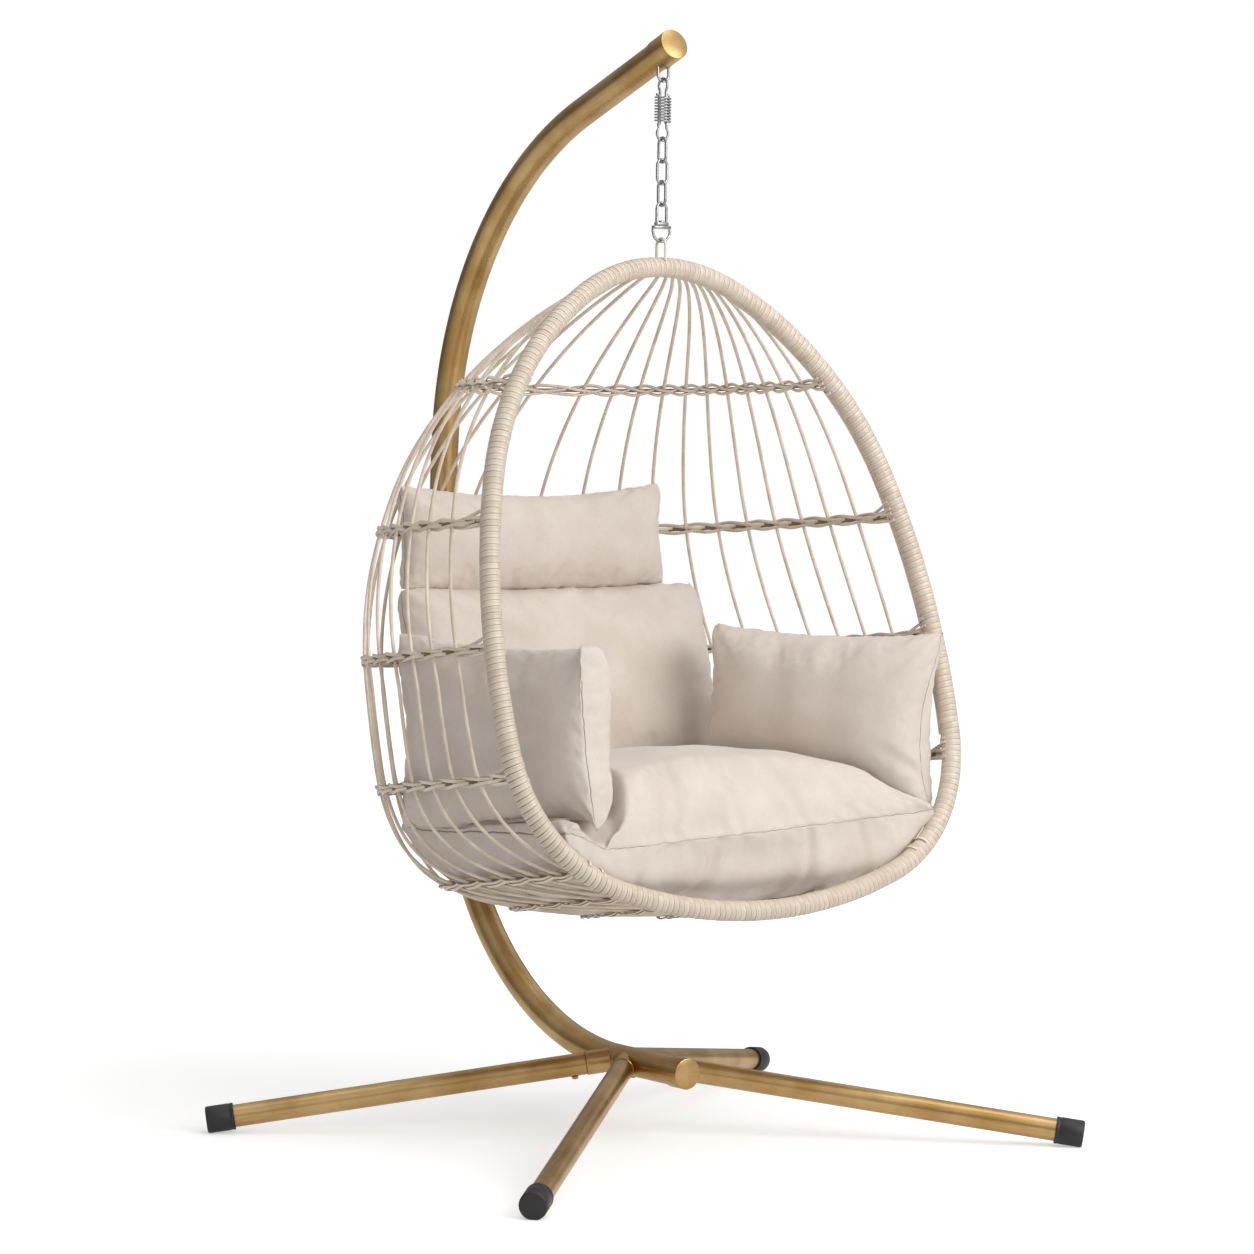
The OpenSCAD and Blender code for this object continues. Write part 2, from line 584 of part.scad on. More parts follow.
// Swivel: an eye with a bored yoke, turning on the pin of the hook
yoke_half = swivel_r + link_wire / 2;
pin_head_t = 3;
module yoke_bar(half, t, w) translate([-half + w / 2, -w / 2, -t / 2]) {
    cube([2 * half - w, w, t]);
    for (x = [0, 2 * half - w]) translate([x, w / 2, 0]) cylinder(d = w, h = t, $fn = 32);
}
yoke_w = 11;
module swivel_eye() color(zinc) {
    at_hang(z_yoke) in_xz() wire([[swivel_leg, 0], [swivel_r, 180], [swivel_leg, 0]],
            [swivel_r, 0, 90], link_wire);
    difference() {
        at_hang(z_yoke) yoke_bar(yoke_half + 1.5, yoke_t, yoke_w);
        at_hang(z_yoke - yoke_t) cylinder(r = pin_d / 2 + 0.05, h = 2 * yoke_t);
    }
}
module swivel_pin() color(zinc) {
    at_hang(z_hook_yoke + yoke_t / 2) cylinder(d = pin_d, h = yoke_t + 2 * run_gap);
    at_hang(z_yoke + yoke_t / 2 + run_gap) cylinder(d = pin_d + 4, h = pin_head_t);
}
gate_high_a = 0;        // the gate is hinged on the ring at this angle, seen from the front
gate_low_a = -52;       // and meets the hook's nose round this one
knuckle_r = link_wire / 2 - 0.3;
gate_wire = 2 * (knuckle_r - 0.15);
gate_reach = 2 * hook_r * sin((gate_high_a - gate_low_a) / 2) - 0.5;
gate_out = hook_r + gate_wire / 2;      // the gate's tip stays inside its reach, also at its outer corner
gate_tip_a = gate_high_a - acos((gate_out * gate_out + hook_r * hook_r - gate_reach * gate_reach)
    / (2 * gate_out * hook_r));
hook_yoke_drop = z_hook_yoke - z_hook_centre;
module wire_arc(r, d, a0, a1) rotate([0, 0, a0]) rotate_extrude(angle = a1 - a0, $fn = 72)
    translate([r, 0]) circle(d = d, $fn = 32);
module at_gate_axis(r, h) translate(hook_r * [cos(gate_high_a), sin(gate_high_a), 0])
    cylinder(r = r, h = h, center = true);
module swivel_hook() color(zinc) {
    at_hang(z_hook_centre) in_xz() {
        difference() {
            wire_arc(hook_r, link_wire, 180 - asin(hook_yoke_drop / hook_r), 372 + gate_low_a);
            at_gate_axis(gate_reach + run_gap, 2 * link_wire);
        }
        difference() {
            wire_arc(hook_r, link_wire, gate_high_a, asin(hook_yoke_drop / hook_r));
            at_gate_axis(knuckle_r + 2 * run_gap, 2 * link_wire);
        }
    }
    at_hang(z_hook_yoke) yoke_bar(hook_yoke_half + link_wire / 2, yoke_t, yoke_w);
}
module hook_gate() color(zinc) at_hang(z_hook_centre) in_xz() {
    wire_arc(hook_r, gate_wire, gate_tip_a, gate_high_a);
    at_gate_axis(knuckle_r, link_wire);
}

// ---------- rim ----------
module in_rim_plane() translate([0, hang_y, crown_z]) rotate([-90 - rim_lean, 0, 0]) children();
rim_half = [for (i = [1:3]) [rim_r[i], turn[i + 1] - turn[i]]];
rim_run = concat([[crown_r, 2 * turn[1]]], rim_half, [[base_r, 2 * (180 - turn[4])]],
    [for (i = [2:-1:0]) rim_half[i]]);
rim_start = [rim_end(1)[0] * -1, rim_end(1)[1], -turn[1]];
module rim_loop(ro, ri) bent(rim_run, rim_start, ro, ri, closed = true);
rim_tube_r = rim_tube_d / 2;
module rim_tube() color(gold) in_rim_plane() rim_loop(rim_tube_r, rim_tube_r - rim_tube_wall);
module rim_wrap() color(rattan) difference() {
    in_rim_plane() rim_loop(wrap_d / 2, rim_tube_r + seat_gap);
    for (side = [-1, 1]) at_hang(crown_z) translate([0, side * eyelet_r, 0])
        cylinder(d = eyelet_wire + 2 * slip, h = wrap_d);
}

// Eyelet: a wire staple that stands on the rim tube at the crown, through the wrapping
eyelet_wire = 5;
eyelet_r = eyelet_gap / 2 + eyelet_wire / 2;
module rim_eyelet() color(rattan) at_hang(z_eyelet_top - eyelet_r) in_yz()
    wire([[eyelet_leg_len, 0], [eyelet_r, 180], [eyelet_leg_len, 0]],
        [eyelet_r, -eyelet_leg_len, 90], eyelet_wire);
eyelet_leg_len = eyelet_rise - eyelet_r
    - sqrt(max(0, pow(rim_tube_r + seat_gap, 2) - pow(eyelet_r - eyelet_wire / 2, 2)));

// Thin rod that runs along the back of the rim down both flanks
side_rod_d = 5;
side_rod_in = 8;
side_rod_up = sqrt(pow((wrap_d + side_rod_d) / 2 + seat_gap, 2) - side_rod_in * side_rod_in);
module rim_side_rods() color(rattan) in_rim_plane() for (side = [0, 1]) mirror([side, 0, 0])
    translate([0, 0, side_rod_up])
        bent([for (i = [1:2]) [rim_r[i] - side_rod_in, turn[i + 1] - turn[i]]],
            concat(rim_end(1) + side_rod_in * [-sin(turn[1]), cos(turn[1])], [turn[1]]),
            side_rod_d / 2, $fn = 32);

// ---------- ribs ----------
rib_sides = 5;
stations = [9, 18, 27, 36, 44, 50.6, 59, 68, 78.2, 88.5, 100.2, 112, 124, 133, 141, 148.4, 153.5, 158.3, 162,
    165.5, 168.5, 171.5, 175];
hoop_t = [for (i = [5, 8, 10, 12, 15, 17, 19, 21]) stations[i]];
rib_section = round_section(rib_d / 2, rib_sides);
function out_at(s, t) = unit(cross(along_hoop(s, t), along_rib(s, t)));
function rib_ring(s, t) = ring_at(rib_point(s, t), along_rib(s, t), out_at(s, t), rib_section);
function rib_exit(s, near, away, n = 12) = n == 0 ? away : let (m = (near + away) / 2)
    clear_of_rim(rib_ring(s, m)) > 0 ? rib_exit(s, near, m, n - 1) : rib_exit(s, m, away, n - 1);
module rib(s) {
    ts = [for (t = stations) if (t < rib_end(s) && clear_of_rim(rib_ring(s, t)) > 0) t];
    t0 = rib_exit(s, max(1, ts[0] - 9), ts[0]);
    t1 = rib_exit(s, min(179, ts[len(ts) - 1] + 5), ts[len(ts) - 1]);
    all_t = concat([t0], [for (t = ts) if (t > t0 + 1 && t < t1 - 1) t], [t1]);
    sweep([for (t = all_t) rib_point(s, t)], [for (t = all_t) out_at(s, t)], rib_section);
}
module ribs_left() color(rattan) for (s = [1:rib_count / 2]) rib(s);
module ribs_right() color(rattan) for (s = [rib_count / 2 + 1:rib_count]) rib(s);

// ---------- hoops: two flat strands twisted round every rib ----------
weave_out = rib_d / 2 + strand_t / 2 + 0.25;
weave_up = strand_w / 2 + 1.4;
function weave_at(t) = weave_out + 1.1 * max(0, min(1, (t - 100) / 60));  // more round the slanting low ribs
function over(s) = max(-1, min(1, 1.3 * cos(180 * s)));
steps_per_rib = 3;
strand_section = [[strand_t / 2, strand_w / 2], [-strand_t / 2, strand_w / 2],
    [-strand_t / 2, -strand_w / 2], [strand_t / 2, -strand_w / 2]];
function strand_point(s, t, way) = let (h = along_hoop(s, t), n = out_at(s, t))
    rib_point(s, t) + way * (weave_at(t) * over(s) * n + weave_up * sin(180 * s) * cross(n, h));
function strand_ring(s, t, way) = ring_at(strand_point(s, t, way),
    unit(strand_point(s + 0.1, t, way) - strand_point(s - 0.1, t, way)), out_at(s, t), strand_section);
function strand_exit(t, way, near, away, n = 10) = n == 0 ? away : let (m = (near + away) / 2)
    clear_of_rim(strand_ring(m, t, way)) > 0
        ? strand_exit(t, way, near, m, n - 1) : strand_exit(t, way, m, away, n - 1);
module strand(t, way) {
    ss = [for (i = [1:steps_per_rib * (rib_count + 1) - 1]) let (s = i / steps_per_rib)
        if (clear_of_rim(strand_ring(s, t, way)) > 0) s];
    s0 = strand_exit(t, way, ss[0] - 1 / steps_per_rib, ss[0]);
    s1 = strand_exit(t, way, ss[len(ss) - 1] + 1 / steps_per_rib, ss[len(ss) - 1]);
    all_s = concat([s0], [for (s = ss) if (s > s0 + 0.1 && s < s1 - 0.1) s], [s1]);
    sweep([for (s = all_s) strand_point(s, t, way)], [for (s = all_s) out_at(s, t)], strand_section);
}
module hoop(i) color(rattan) for (way = [-1, 1]) strand(hoop_t[i - 1], way);
module hoop_1() hoop(1);
module hoop_2() hoop(2);
module hoop_3() hoop(3);
module hoop_4() hoop(4);
module hoop_5() hoop(5);
module hoop_6() hoop(6);
module hoop_7() hoop(7);
module hoop_8() hoop(8);

// ---------- cushions: crowned pads with pinched corners and one seam ----------
pad_n = 8;
function pad_grid(w, h, t, pinch, full, sag, way) = [for (i = [0:pad_n], j = [0:pad_n]) let (
    u = -cos(180 * i / pad_n),
    v = -cos(180 * j / pad_n),
    crown = pow(max(0, (1 - u * u) * (1 - v * v)), full))
    [w / 2 * u * (1 - pinch * (1 - v * v)),
        h / 2 * v * (1 - (v > 0 ? sag : pinch) * (1 - u * u)),
        way * t / 2 * crown]];
// The diagonals run out from the middle to the corners, so that no corner is a flat flap
function crossed(i, j) = (i < pad_n / 2) != (j < pad_n / 2);
function cell(a, b, c, d, flip) = flip ? [[a, b, d], [b, c, d]] : [[a, b, c], [a, c, d]];
pad_m = pad_n + 1;
function pad_edge(i, j) = i == 0 || j == 0 || i == pad_n || j == pad_n;
function low_id(i, j) = pad_edge(i, j) ? i * pad_m + j : pad_m * pad_m + i * pad_m + j;
module pad_skin(top, low) polyhedron(
    points = concat(top, low),
    faces = concat(
        [for (i = [0:pad_n - 1], j = [0:pad_n - 1]) each cell(i * pad_m + j, i * pad_m + j + 1,
            (i + 1) * pad_m + j + 1, (i + 1) * pad_m + j, crossed(i, j))],
        [for (i = [0:pad_n - 1], j = [0:pad_n - 1]) each cell(low_id(i, j), low_id(i + 1, j),
            low_id(i + 1, j + 1), low_id(i, j + 1), crossed(i, j))]));
module pad(w, h, t, sag, pinch = 0.03, full = 0.27)
    pad_skin(pad_grid(w, h, t, pinch, full, sag, 1), pad_grid(w, h, t, pinch, full, sag, -1));

// Inside of the basket: half width at height share h and place y, and the height of the bowl under [x, y]
function hoop_half(h, y) = let (
    v = h * rim_h,
    back = y - hang_y + v * sin(rim_lean),
    s = pow(max(0, back) / max(1, depth_at(h)), side_power / 2))
    s >= 1 ? -1 : (rim_x(v) + bulge_at(h) * (1 - pow(1 - s, 4))) * pow(1 - s * s, 1 / side_power);
function bowl_h(x, y, in, out, n = 16) = n == 0 ? in : let (m = (in + out) / 2)
    hoop_half(m, y) >= abs(x) ? bowl_h(x, y, m, out, n - 1) : bowl_h(x, y, in, m, n - 1);
function bowl_z(x, y) = hoop_half(0.8, y) < abs(x) ? far : let (
    h = bowl_h(x, y, 0.8, 1),
    back = max(0, y - hang_y + h * rim_h * sin(rim_lean)))
    crown_z - h * rim_h * cos(rim_lean) - (0.02 + 0.14 * h) * back;

// The seat fills the bottom of the basket; the other four stand on it and lean on the ribs
seat_in = wrap_d / 2 + 20.5;         // from the foot of the rim back to the seat's front seam
seat_rise = wrap_d / 2 + 112.8;      // from the foot of the rim up to the middle of the seat's seam
seat_at = [3.8, hang_y - rim_h * sin(rim_lean) + seat_in + seat_depth / 2,
    crown_z - rim_h * cos(rim_lean) + seat_rise];
seat_back = seat_at[1] + seat_depth / 2;
seat_tilt = -4;
seat_full = [0.5, 0.22];            // how slowly the crown falls to the sides, and to the front
seat_low_full = 0.2;
seat_side = wrap_d / 2 + 3;          // from the middle of the rim tube to the seat's seam
seat_bed = 5.7;                      // from the middle of the ribs to the seat's lower side
function seat_seam(y) = seat_at[2] + (y - seat_at[1]) * tan(seat_tilt);
function seat_h(y) = (crown_z - seat_seam(y) - 0.142 * (y - hang_y))
    / (cos(rim_lean) + 0.142 * sin(rim_lean)) / rim_h;
function seat_half(y) = min(seat_w / 2, hoop_half(seat_h(y), y) - seat_side);
function seat_crown(u, v, f = seat_full) = abs(u) >= 1 || abs(v) >= 1
    ? 0 : pow(1 - u * u, f[0]) * pow(1 - v * v, f[1]);
function seat_low(x, y, c) = let (
    z = seat_seam(y),
    bed = bowl_z(abs(x) + seat_bed, y + (y > seat_at[1] ? seat_bed : 0)) + seat_bed)
    min(z - 0.15 * seat_down * c, max(z - seat_down * c, bed));
function seat_grid(way) = [for (i = [0:pad_n], j = [0:pad_n]) let (
    u = -cos(180 * i / pad_n),
    v = -cos(180 * j / pad_n),
    y = seat_at[1] + seat_depth / 2 * v,
    x = seat_at[0] + u * seat_half(y) * (1 - 0.02 * (1 - v * v)),
    c = seat_crown(u, v, way > 0 ? seat_full : [seat_low_full, seat_low_full]))
    [x, y, way > 0 ? seat_seam(y) + seat_up * c : seat_low(x, y, c)]];
module seat_cushion() color(fabric) pad_skin(seat_grid(1), seat_grid(-1));
function seat_top(p) = let (c = seat_crown((p[0] - seat_at[0]) / seat_half(p[1]),
    2 * (p[1] - seat_at[1]) / seat_depth))
    c <= 0 ? 0 : seat_seam(p[1]) + seat_up * c;
function edge_rest(c, dir, half) = max([for (k = [-1:0.1:1]) seat_top(c + dir * half * k)]);

back_tilt = 17;
back_foot = [10, seat_back - back_t * 0.24];
back_lift = -7.4;
back_z = edge_rest(back_foot, [1, 0], back_w / 2) + back_lift;
module back_cushion() color(fabric) translate([back_foot[0], back_foot[1], back_z])
    rotate([90 - back_tilt, 0, 0]) translate([0, back_h / 2, 0]) pad(back_w, back_h, back_t, sag = 0.06);

head_tilt = 6;
head_lift = -4.4;
head_at = [-19, back_foot[1] + back_h * sin(back_tilt) + 5,
    back_z + back_h * cos(back_tilt) + head_lift];
module head_cushion() color(fabric) translate(head_at) rotate([90 - head_tilt, 0, 0])
    translate([0, head_h / 2, 0]) pad(head_w, head_h, head_t, sag = 0.24);

// Arm pillows: the foot edge follows the seat, the top edge is level
arm_left_at = [seat_w / 2 - 58, seat_at[1] - 42];
arm_left_turn = 114;
arm_right_at = [26 - seat_w / 2, seat_at[1] - 58];
arm_right_turn = 103;
arm_lean = 0.04;                     // how far the pillows lean out on the ribs, as a slope
arm_left_rest = 17;                  // between a pillow's skin and the seat's crown
arm_right_rest = 4.6;
arm_out = 0.3;                       // share of a pillow's thickness that lies towards the ribs
arm_pinch = 0.04;
arm_full = 0.27;
function arm_foot(p, rest) = max(seat_seam(max(p[1], seat_at[1] - seat_depth / 2)), seat_top(p) + rest);
function arm_grid(at, dir, out, way, h, rest) = let (
    base = min([for (k = [-1:0.25:1]) arm_foot(at + dir * arm_w / 2 * k, rest)]))
    [for (i = [0:pad_n], j = [0:pad_n]) let (
        u = -cos(180 * i / pad_n),
        v = -cos(180 * j / pad_n),
        p = at + dir * arm_w / 2 * u * (1 - arm_pinch * (1 - v * v)),
        foot = arm_foot(p, rest),
        z = foot + (v + 1) / 2 * (base + h * (1 - arm_pinch * (1 - u * u)) - foot),
        belly = arm_t * pow((1 - u * u) * (1 - v * v), arm_full) * (way > 0 ? arm_out : arm_out - 1),
        q = p + out * (belly + (z - base) * arm_lean))
        [q[0], q[1], max(z, seat_top(q) + rest)]];
module arm_pillow(at, turn_z, h, rest) {
    dir = [cos(turn_z), sin(turn_z)];
    out = at[0] > 0 ? [dir[1], -dir[0]] : [-dir[1], dir[0]];
    way = at[0] > 0 ? 1 : -1;
    color(fabric) pad_skin(arm_grid(at, dir, out, way, h, rest), arm_grid(at, dir, out, -way, h, rest));
}
module arm_pillow_left() arm_pillow(arm_left_at, arm_left_turn, arm_left_h, arm_left_rest);
module arm_pillow_right() arm_pillow(arm_right_at, arm_right_turn, arm_right_h, arm_right_rest);

mast_base();
mast_lower();
mast_upper();
mast_low_cap();
mast_top_cap();
mast_screws();
leg_front_left();
leg_front_right();
leg_rear_left();
leg_rear_right();
foot_front_left();
foot_front_right();
foot_rear_left();
foot_rear_right();
leg_bolts();
hanging_eye();
upper_drawbar();
spring_coil();
lower_drawbar();
chain_link_1();
chain_link_2();
chain_link_3();
swivel_eye();
swivel_pin();
swivel_hook();
hook_gate();
rim_eyelet();
rim_tube();
rim_wrap();
rim_side_rods();
ribs_left();
ribs_right();
hoop_1();
hoop_2();
hoop_3();
hoop_4();
hoop_5();
hoop_6();
hoop_7();
hoop_8();
seat_cushion();
back_cushion();
head_cushion();
arm_pillow_left();
arm_pillow_right();
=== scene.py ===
# Hanging egg chair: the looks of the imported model. Metres, +Z up, the basket opens towards -Y.
import json
import math

import bmesh
import bpy
import numpy as np
from mathutils import Matrix, Vector


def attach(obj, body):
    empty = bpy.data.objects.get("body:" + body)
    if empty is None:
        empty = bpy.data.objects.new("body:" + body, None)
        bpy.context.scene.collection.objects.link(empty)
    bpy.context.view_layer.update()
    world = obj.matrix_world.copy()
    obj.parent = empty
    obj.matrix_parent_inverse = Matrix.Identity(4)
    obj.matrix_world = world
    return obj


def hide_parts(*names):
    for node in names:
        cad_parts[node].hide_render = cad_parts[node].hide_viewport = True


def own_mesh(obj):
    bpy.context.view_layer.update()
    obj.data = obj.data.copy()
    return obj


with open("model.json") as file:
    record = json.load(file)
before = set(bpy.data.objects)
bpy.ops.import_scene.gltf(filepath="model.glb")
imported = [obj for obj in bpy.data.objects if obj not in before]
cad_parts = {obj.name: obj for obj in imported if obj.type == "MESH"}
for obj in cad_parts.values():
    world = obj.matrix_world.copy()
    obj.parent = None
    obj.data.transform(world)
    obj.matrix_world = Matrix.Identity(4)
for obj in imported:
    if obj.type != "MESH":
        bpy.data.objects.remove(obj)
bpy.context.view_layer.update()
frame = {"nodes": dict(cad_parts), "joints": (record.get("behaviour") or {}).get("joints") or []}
nodes = frame["nodes"]
joint_at = {j["name"]: j["pos_m"] for j in frame["joints"] if "pos_m" in j}

# ---------- sizes of the chair, as in its construction ----------
HANG_Y = joint_at["basket_tilt"][1]
EYE_Z = joint_at["swing_fore_aft"][2]            # lowest bar of the hanging eye
EYELET_Z = joint_at["basket_tilt"][2]            # top bar of the basket's eyelet
CROWN_Z = EYELET_Z - 0.050                       # rim tube at its crown
MAST_R = 0.0255
SEAM_Y, SEAM_Z = -0.017485, 0.130                # mast's lower seam
FOOT_LEN = 0.186
TAIL = 0.011
LOW_R, LOW_A = 0.542, 78.6
BACK_R, BACK_A1, BACK_A2 = 2.17248, 8.635, 7.065
TOP_R, TOP_A = 0.676, 64.2
FREE_LEN = 0.292
CAP_R = 0.02755
LEG_R, COLLAR_R, COLLAR_END = 0.020, 0.0215, 0.058
FRONT_FOOT, REAR_FOOT = (0.595, -0.579485, 0.022), (0.625, 0.378515, 0.022)
FRONT_ROOT, REAR_ROOT = (0.0, -0.031485, 0.130), (0.0, -0.001485, 0.130)
RIM_H, RIM_LEAN = 1.142, math.radians(16.3)
RIM_R = [0.318, 0.583, 1.328, 0.275504, 0.899371]
RIM_TURN = [0, 30, 73.5, 94, 161, 180]
WRAP_R, WRAP_PITCH = 0.0175, 0.0107
CROWN_TURN = 15.4                                # the turn at which the wrapping's ends meet
RIB_COUNT, RIB_R = 22, 0.00275
BASKET_DEPTH, BELLY, LOW_BULGE = 0.700, 0.62, 0.050
HOOP_T = [50.6, 78.2, 100.2, 124, 148.4, 158.3, 165.5, 171.5]


# ---------- node trees ----------
class Wire:
    """A socket that takes part in Python expressions; each operator adds its Math or Vector Math node."""

    def __init__(self, net, socket):
        self.net, self.socket = net, socket

    def _join(self, operation, a, b):
        parts = [x.socket.type if isinstance(x, Wire) else "VALUE" for x in (a, b)]
        wide = any(p != "VALUE" and p != "INT" for p in parts) or isinstance(a, tuple) or isinstance(b, tuple)
        if not wide:
            return self.net.add("ShaderNodeMath", {"operation": operation}, {0: a, 1: b})
        if operation == "MULTIPLY" and (parts[1] == "VALUE" and not isinstance(b, tuple)):
            return self.net.add("ShaderNodeVectorMath", {"operation": "SCALE"}, {0: a, "Scale": b})
        return self.net.add("ShaderNodeVectorMath", {"operation": operation}, {0: a, 1: b})

    def __add__(self, other):
        return self._join("ADD", self, other)

    def __radd__(self, other):
        return self._join("ADD", other, self)

    def __sub__(self, other):
        return self._join("SUBTRACT", self, other)

    def __rsub__(self, other):
        return self._join("SUBTRACT", other, self)

    def __mul__(self, other):
        return self._join("MULTIPLY", self, other)

    def __rmul__(self, other):
        return self._join("MULTIPLY", self, other)

    def __truediv__(self, other):
        return self._join("DIVIDE", self, other)

    def math(self, operation, other=0.0):
        return self.net.add("ShaderNodeMath", {"operation": operation}, {0: self, 1: other})

    def between(self, low, high, to_low=0.0, to_high=1.0):
        """Maps low..high to to_low..to_high smoothly, clamped."""
        return self.net.add("ShaderNodeMapRange", {"interpolation_type": "SMOOTHSTEP"},
                            {"Value": self, "From Min": low, "From Max": high, "To Min": to_low, "To Max": to_high})

    def out(self, name):
        return Wire(self.net, self.socket.node.outputs[name])

    @property
    def node(self):
        return self.socket.node


class Net:
    """Builds a node tree: add() takes a node's type, its settings, and the values or links of its sockets."""

    def __init__(self, tree):
        self.tree = tree

    def add(self, kind, settings=None, values=None):
        node = self.tree.nodes.new(kind)
        for name, value in (settings or {}).items():
            setattr(node, name, value)
        for name, value in (values or {}).items():
            socket = node.inputs[name]
            if isinstance(name, str) and not socket.enabled:
                socket = next(s for s in node.inputs if s.name == name and s.enabled)
            if isinstance(value, Wire):
                self.tree.links.new(value.socket, socket)
            elif isinstance(value, (tuple, list)) and len(value) == 3 and socket.type == "RGBA":
                socket.default_value = (*value, 1)
            else:
                socket.default_value = value
        first = next((s for s in node.outputs if s.enabled), None)
        return Wire(self, first) if first else node

    def mix(self, amount, a, b):
        made = self.add("ShaderNodeMix", {"data_type": "RGBA"})
        node = made.node
        for socket, value in ((node.inputs[0], amount), (node.inputs[6], a), (node.inputs[7], b)):
            if isinstance(value, Wire):
                self.tree.links.new(value.socket, socket)
            else:
                socket.default_value = (*value, 1) if isinstance(value, tuple) else value
        return Wire(self, node.outputs[2])


def geometry_tree(name, inputs):
    """A Geometry Nodes tree with a Geometry input and output, and the named inputs (kind, default)."""
    tree = bpy.data.node_groups.new(name, "GeometryNodeTree")
    tree.interface.new_socket("Geometry", in_out="OUTPUT", socket_type="NodeSocketGeometry")
    tree.interface.new_socket("Geometry", in_out="INPUT", socket_type="NodeSocketGeometry")
    for label, (kind, default) in inputs.items():
        socket = tree.interface.new_socket(label, in_out="INPUT", socket_type="NodeSocket" + kind)
        if default is not None:
            socket.default_value = default
    net = Net(tree)
    source = tree.nodes.new("NodeGroupInput")
    given = {s.name: Wire(net, s) for s in source.outputs if s.name}
    return net, given


def end_tree(net, mesh, material):
    """Smooth shading, Realize Instances and Set Material, which end every tree."""
    smooth = net.add("GeometryNodeSetShadeSmooth", {}, {"Geometry": mesh})
    real = net.add("GeometryNodeRealizeInstances", {}, {"Geometry": smooth})
    done = net.add("GeometryNodeSetMaterial", {}, {"Geometry": real, "Material": material})
    last = net.tree.nodes.new("NodeGroupOutput")
    net.tree.links.new(done.socket, last.inputs[0])
    return net.tree


def store(net, geometry, name, value, kind="FLOAT"):
    return net.add("GeometryNodeStoreNamedAttribute", {"data_type": kind, "domain": "POINT"},
                   {"Geometry": geometry, "Name": name, "Value": value})


def round_bar_tree():
    """A round rod or wire along every line of the input mesh."""
    net, given = geometry_tree("round_bar", {"Radius": ("Float", 0.003), "Sides": ("Int", 8),
                                            "Material": ("Material", None)})
    line = net.add("GeometryNodeMeshToCurve", {}, {"Mesh": given["Geometry"]})
    length = net.add("GeometryNodeSplineParameter").out("Length")
    line = store(net, line, "along", length)
    ring = net.add("GeometryNodeCurvePrimitiveCircle", {}, {"Resolution": given["Sides"], "Radius": given["Radius"]})
    bar = net.add("GeometryNodeCurveToMesh", {}, {"Curve": line, "Profile Curve": ring, "Fill Caps": True})
    return end_tree(net, bar, given["Material"])


def flat_strand_tree():
    """A flat strand along every line of the input mesh, with its flat side towards the line's "out" attribute."""
    net, given = geometry_tree("flat_strand", {"Width": ("Float", 0.008), "Thickness": ("Float", 0.003),
                                              "Sides": ("Int", 10), "Material": ("Material", None)})
    line = net.add("GeometryNodeMeshToCurve", {}, {"Mesh": given["Geometry"]})
    out = net.add("GeometryNodeInputNamedAttribute", {"data_type": "FLOAT_VECTOR"}, {"Name": "out"})
    line = net.add("GeometryNodeSetCurveNormal", {"mode": "FREE"}, {"Curve": line, "Normal": out})
    length = net.add("GeometryNodeSplineParameter").out("Length")
    line = store(net, line, "along", length)
    return end_tree(net, strand_body(net, line, given), given["Material"])


def strand_body(net, line, given):
    ring = net.add("GeometryNodeCurvePrimitiveCircle", {}, {"Resolution": given["Sides"], "Radius": 1.0})
    share = net.add("GeometryNodeSplineParameter").out("Factor")
    ring = store(net, ring, "across", share)
    parts = net.add("ShaderNodeSeparateXYZ", {}, {0: net.add("GeometryNodeInputPosition")})
    flat = parts.math("SIGN") * parts.math("ABSOLUTE").math("POWER", 0.36)
    ring = net.add("GeometryNodeSetPosition", {}, {"Geometry": ring, "Position": vector(net, flat, parts.out("Y"))})
    half = net.add("ShaderNodeCombineXYZ", {}, {"X": given["Thickness"] * 0.5, "Y": given["Width"] * 0.5, "Z": 1.0})
    ring = net.add("GeometryNodeTransform", {}, {"Geometry": ring, "Scale": half})
    return net.add("GeometryNodeCurveToMesh", {}, {"Curve": line, "Profile Curve": ring, "Fill Caps": True})


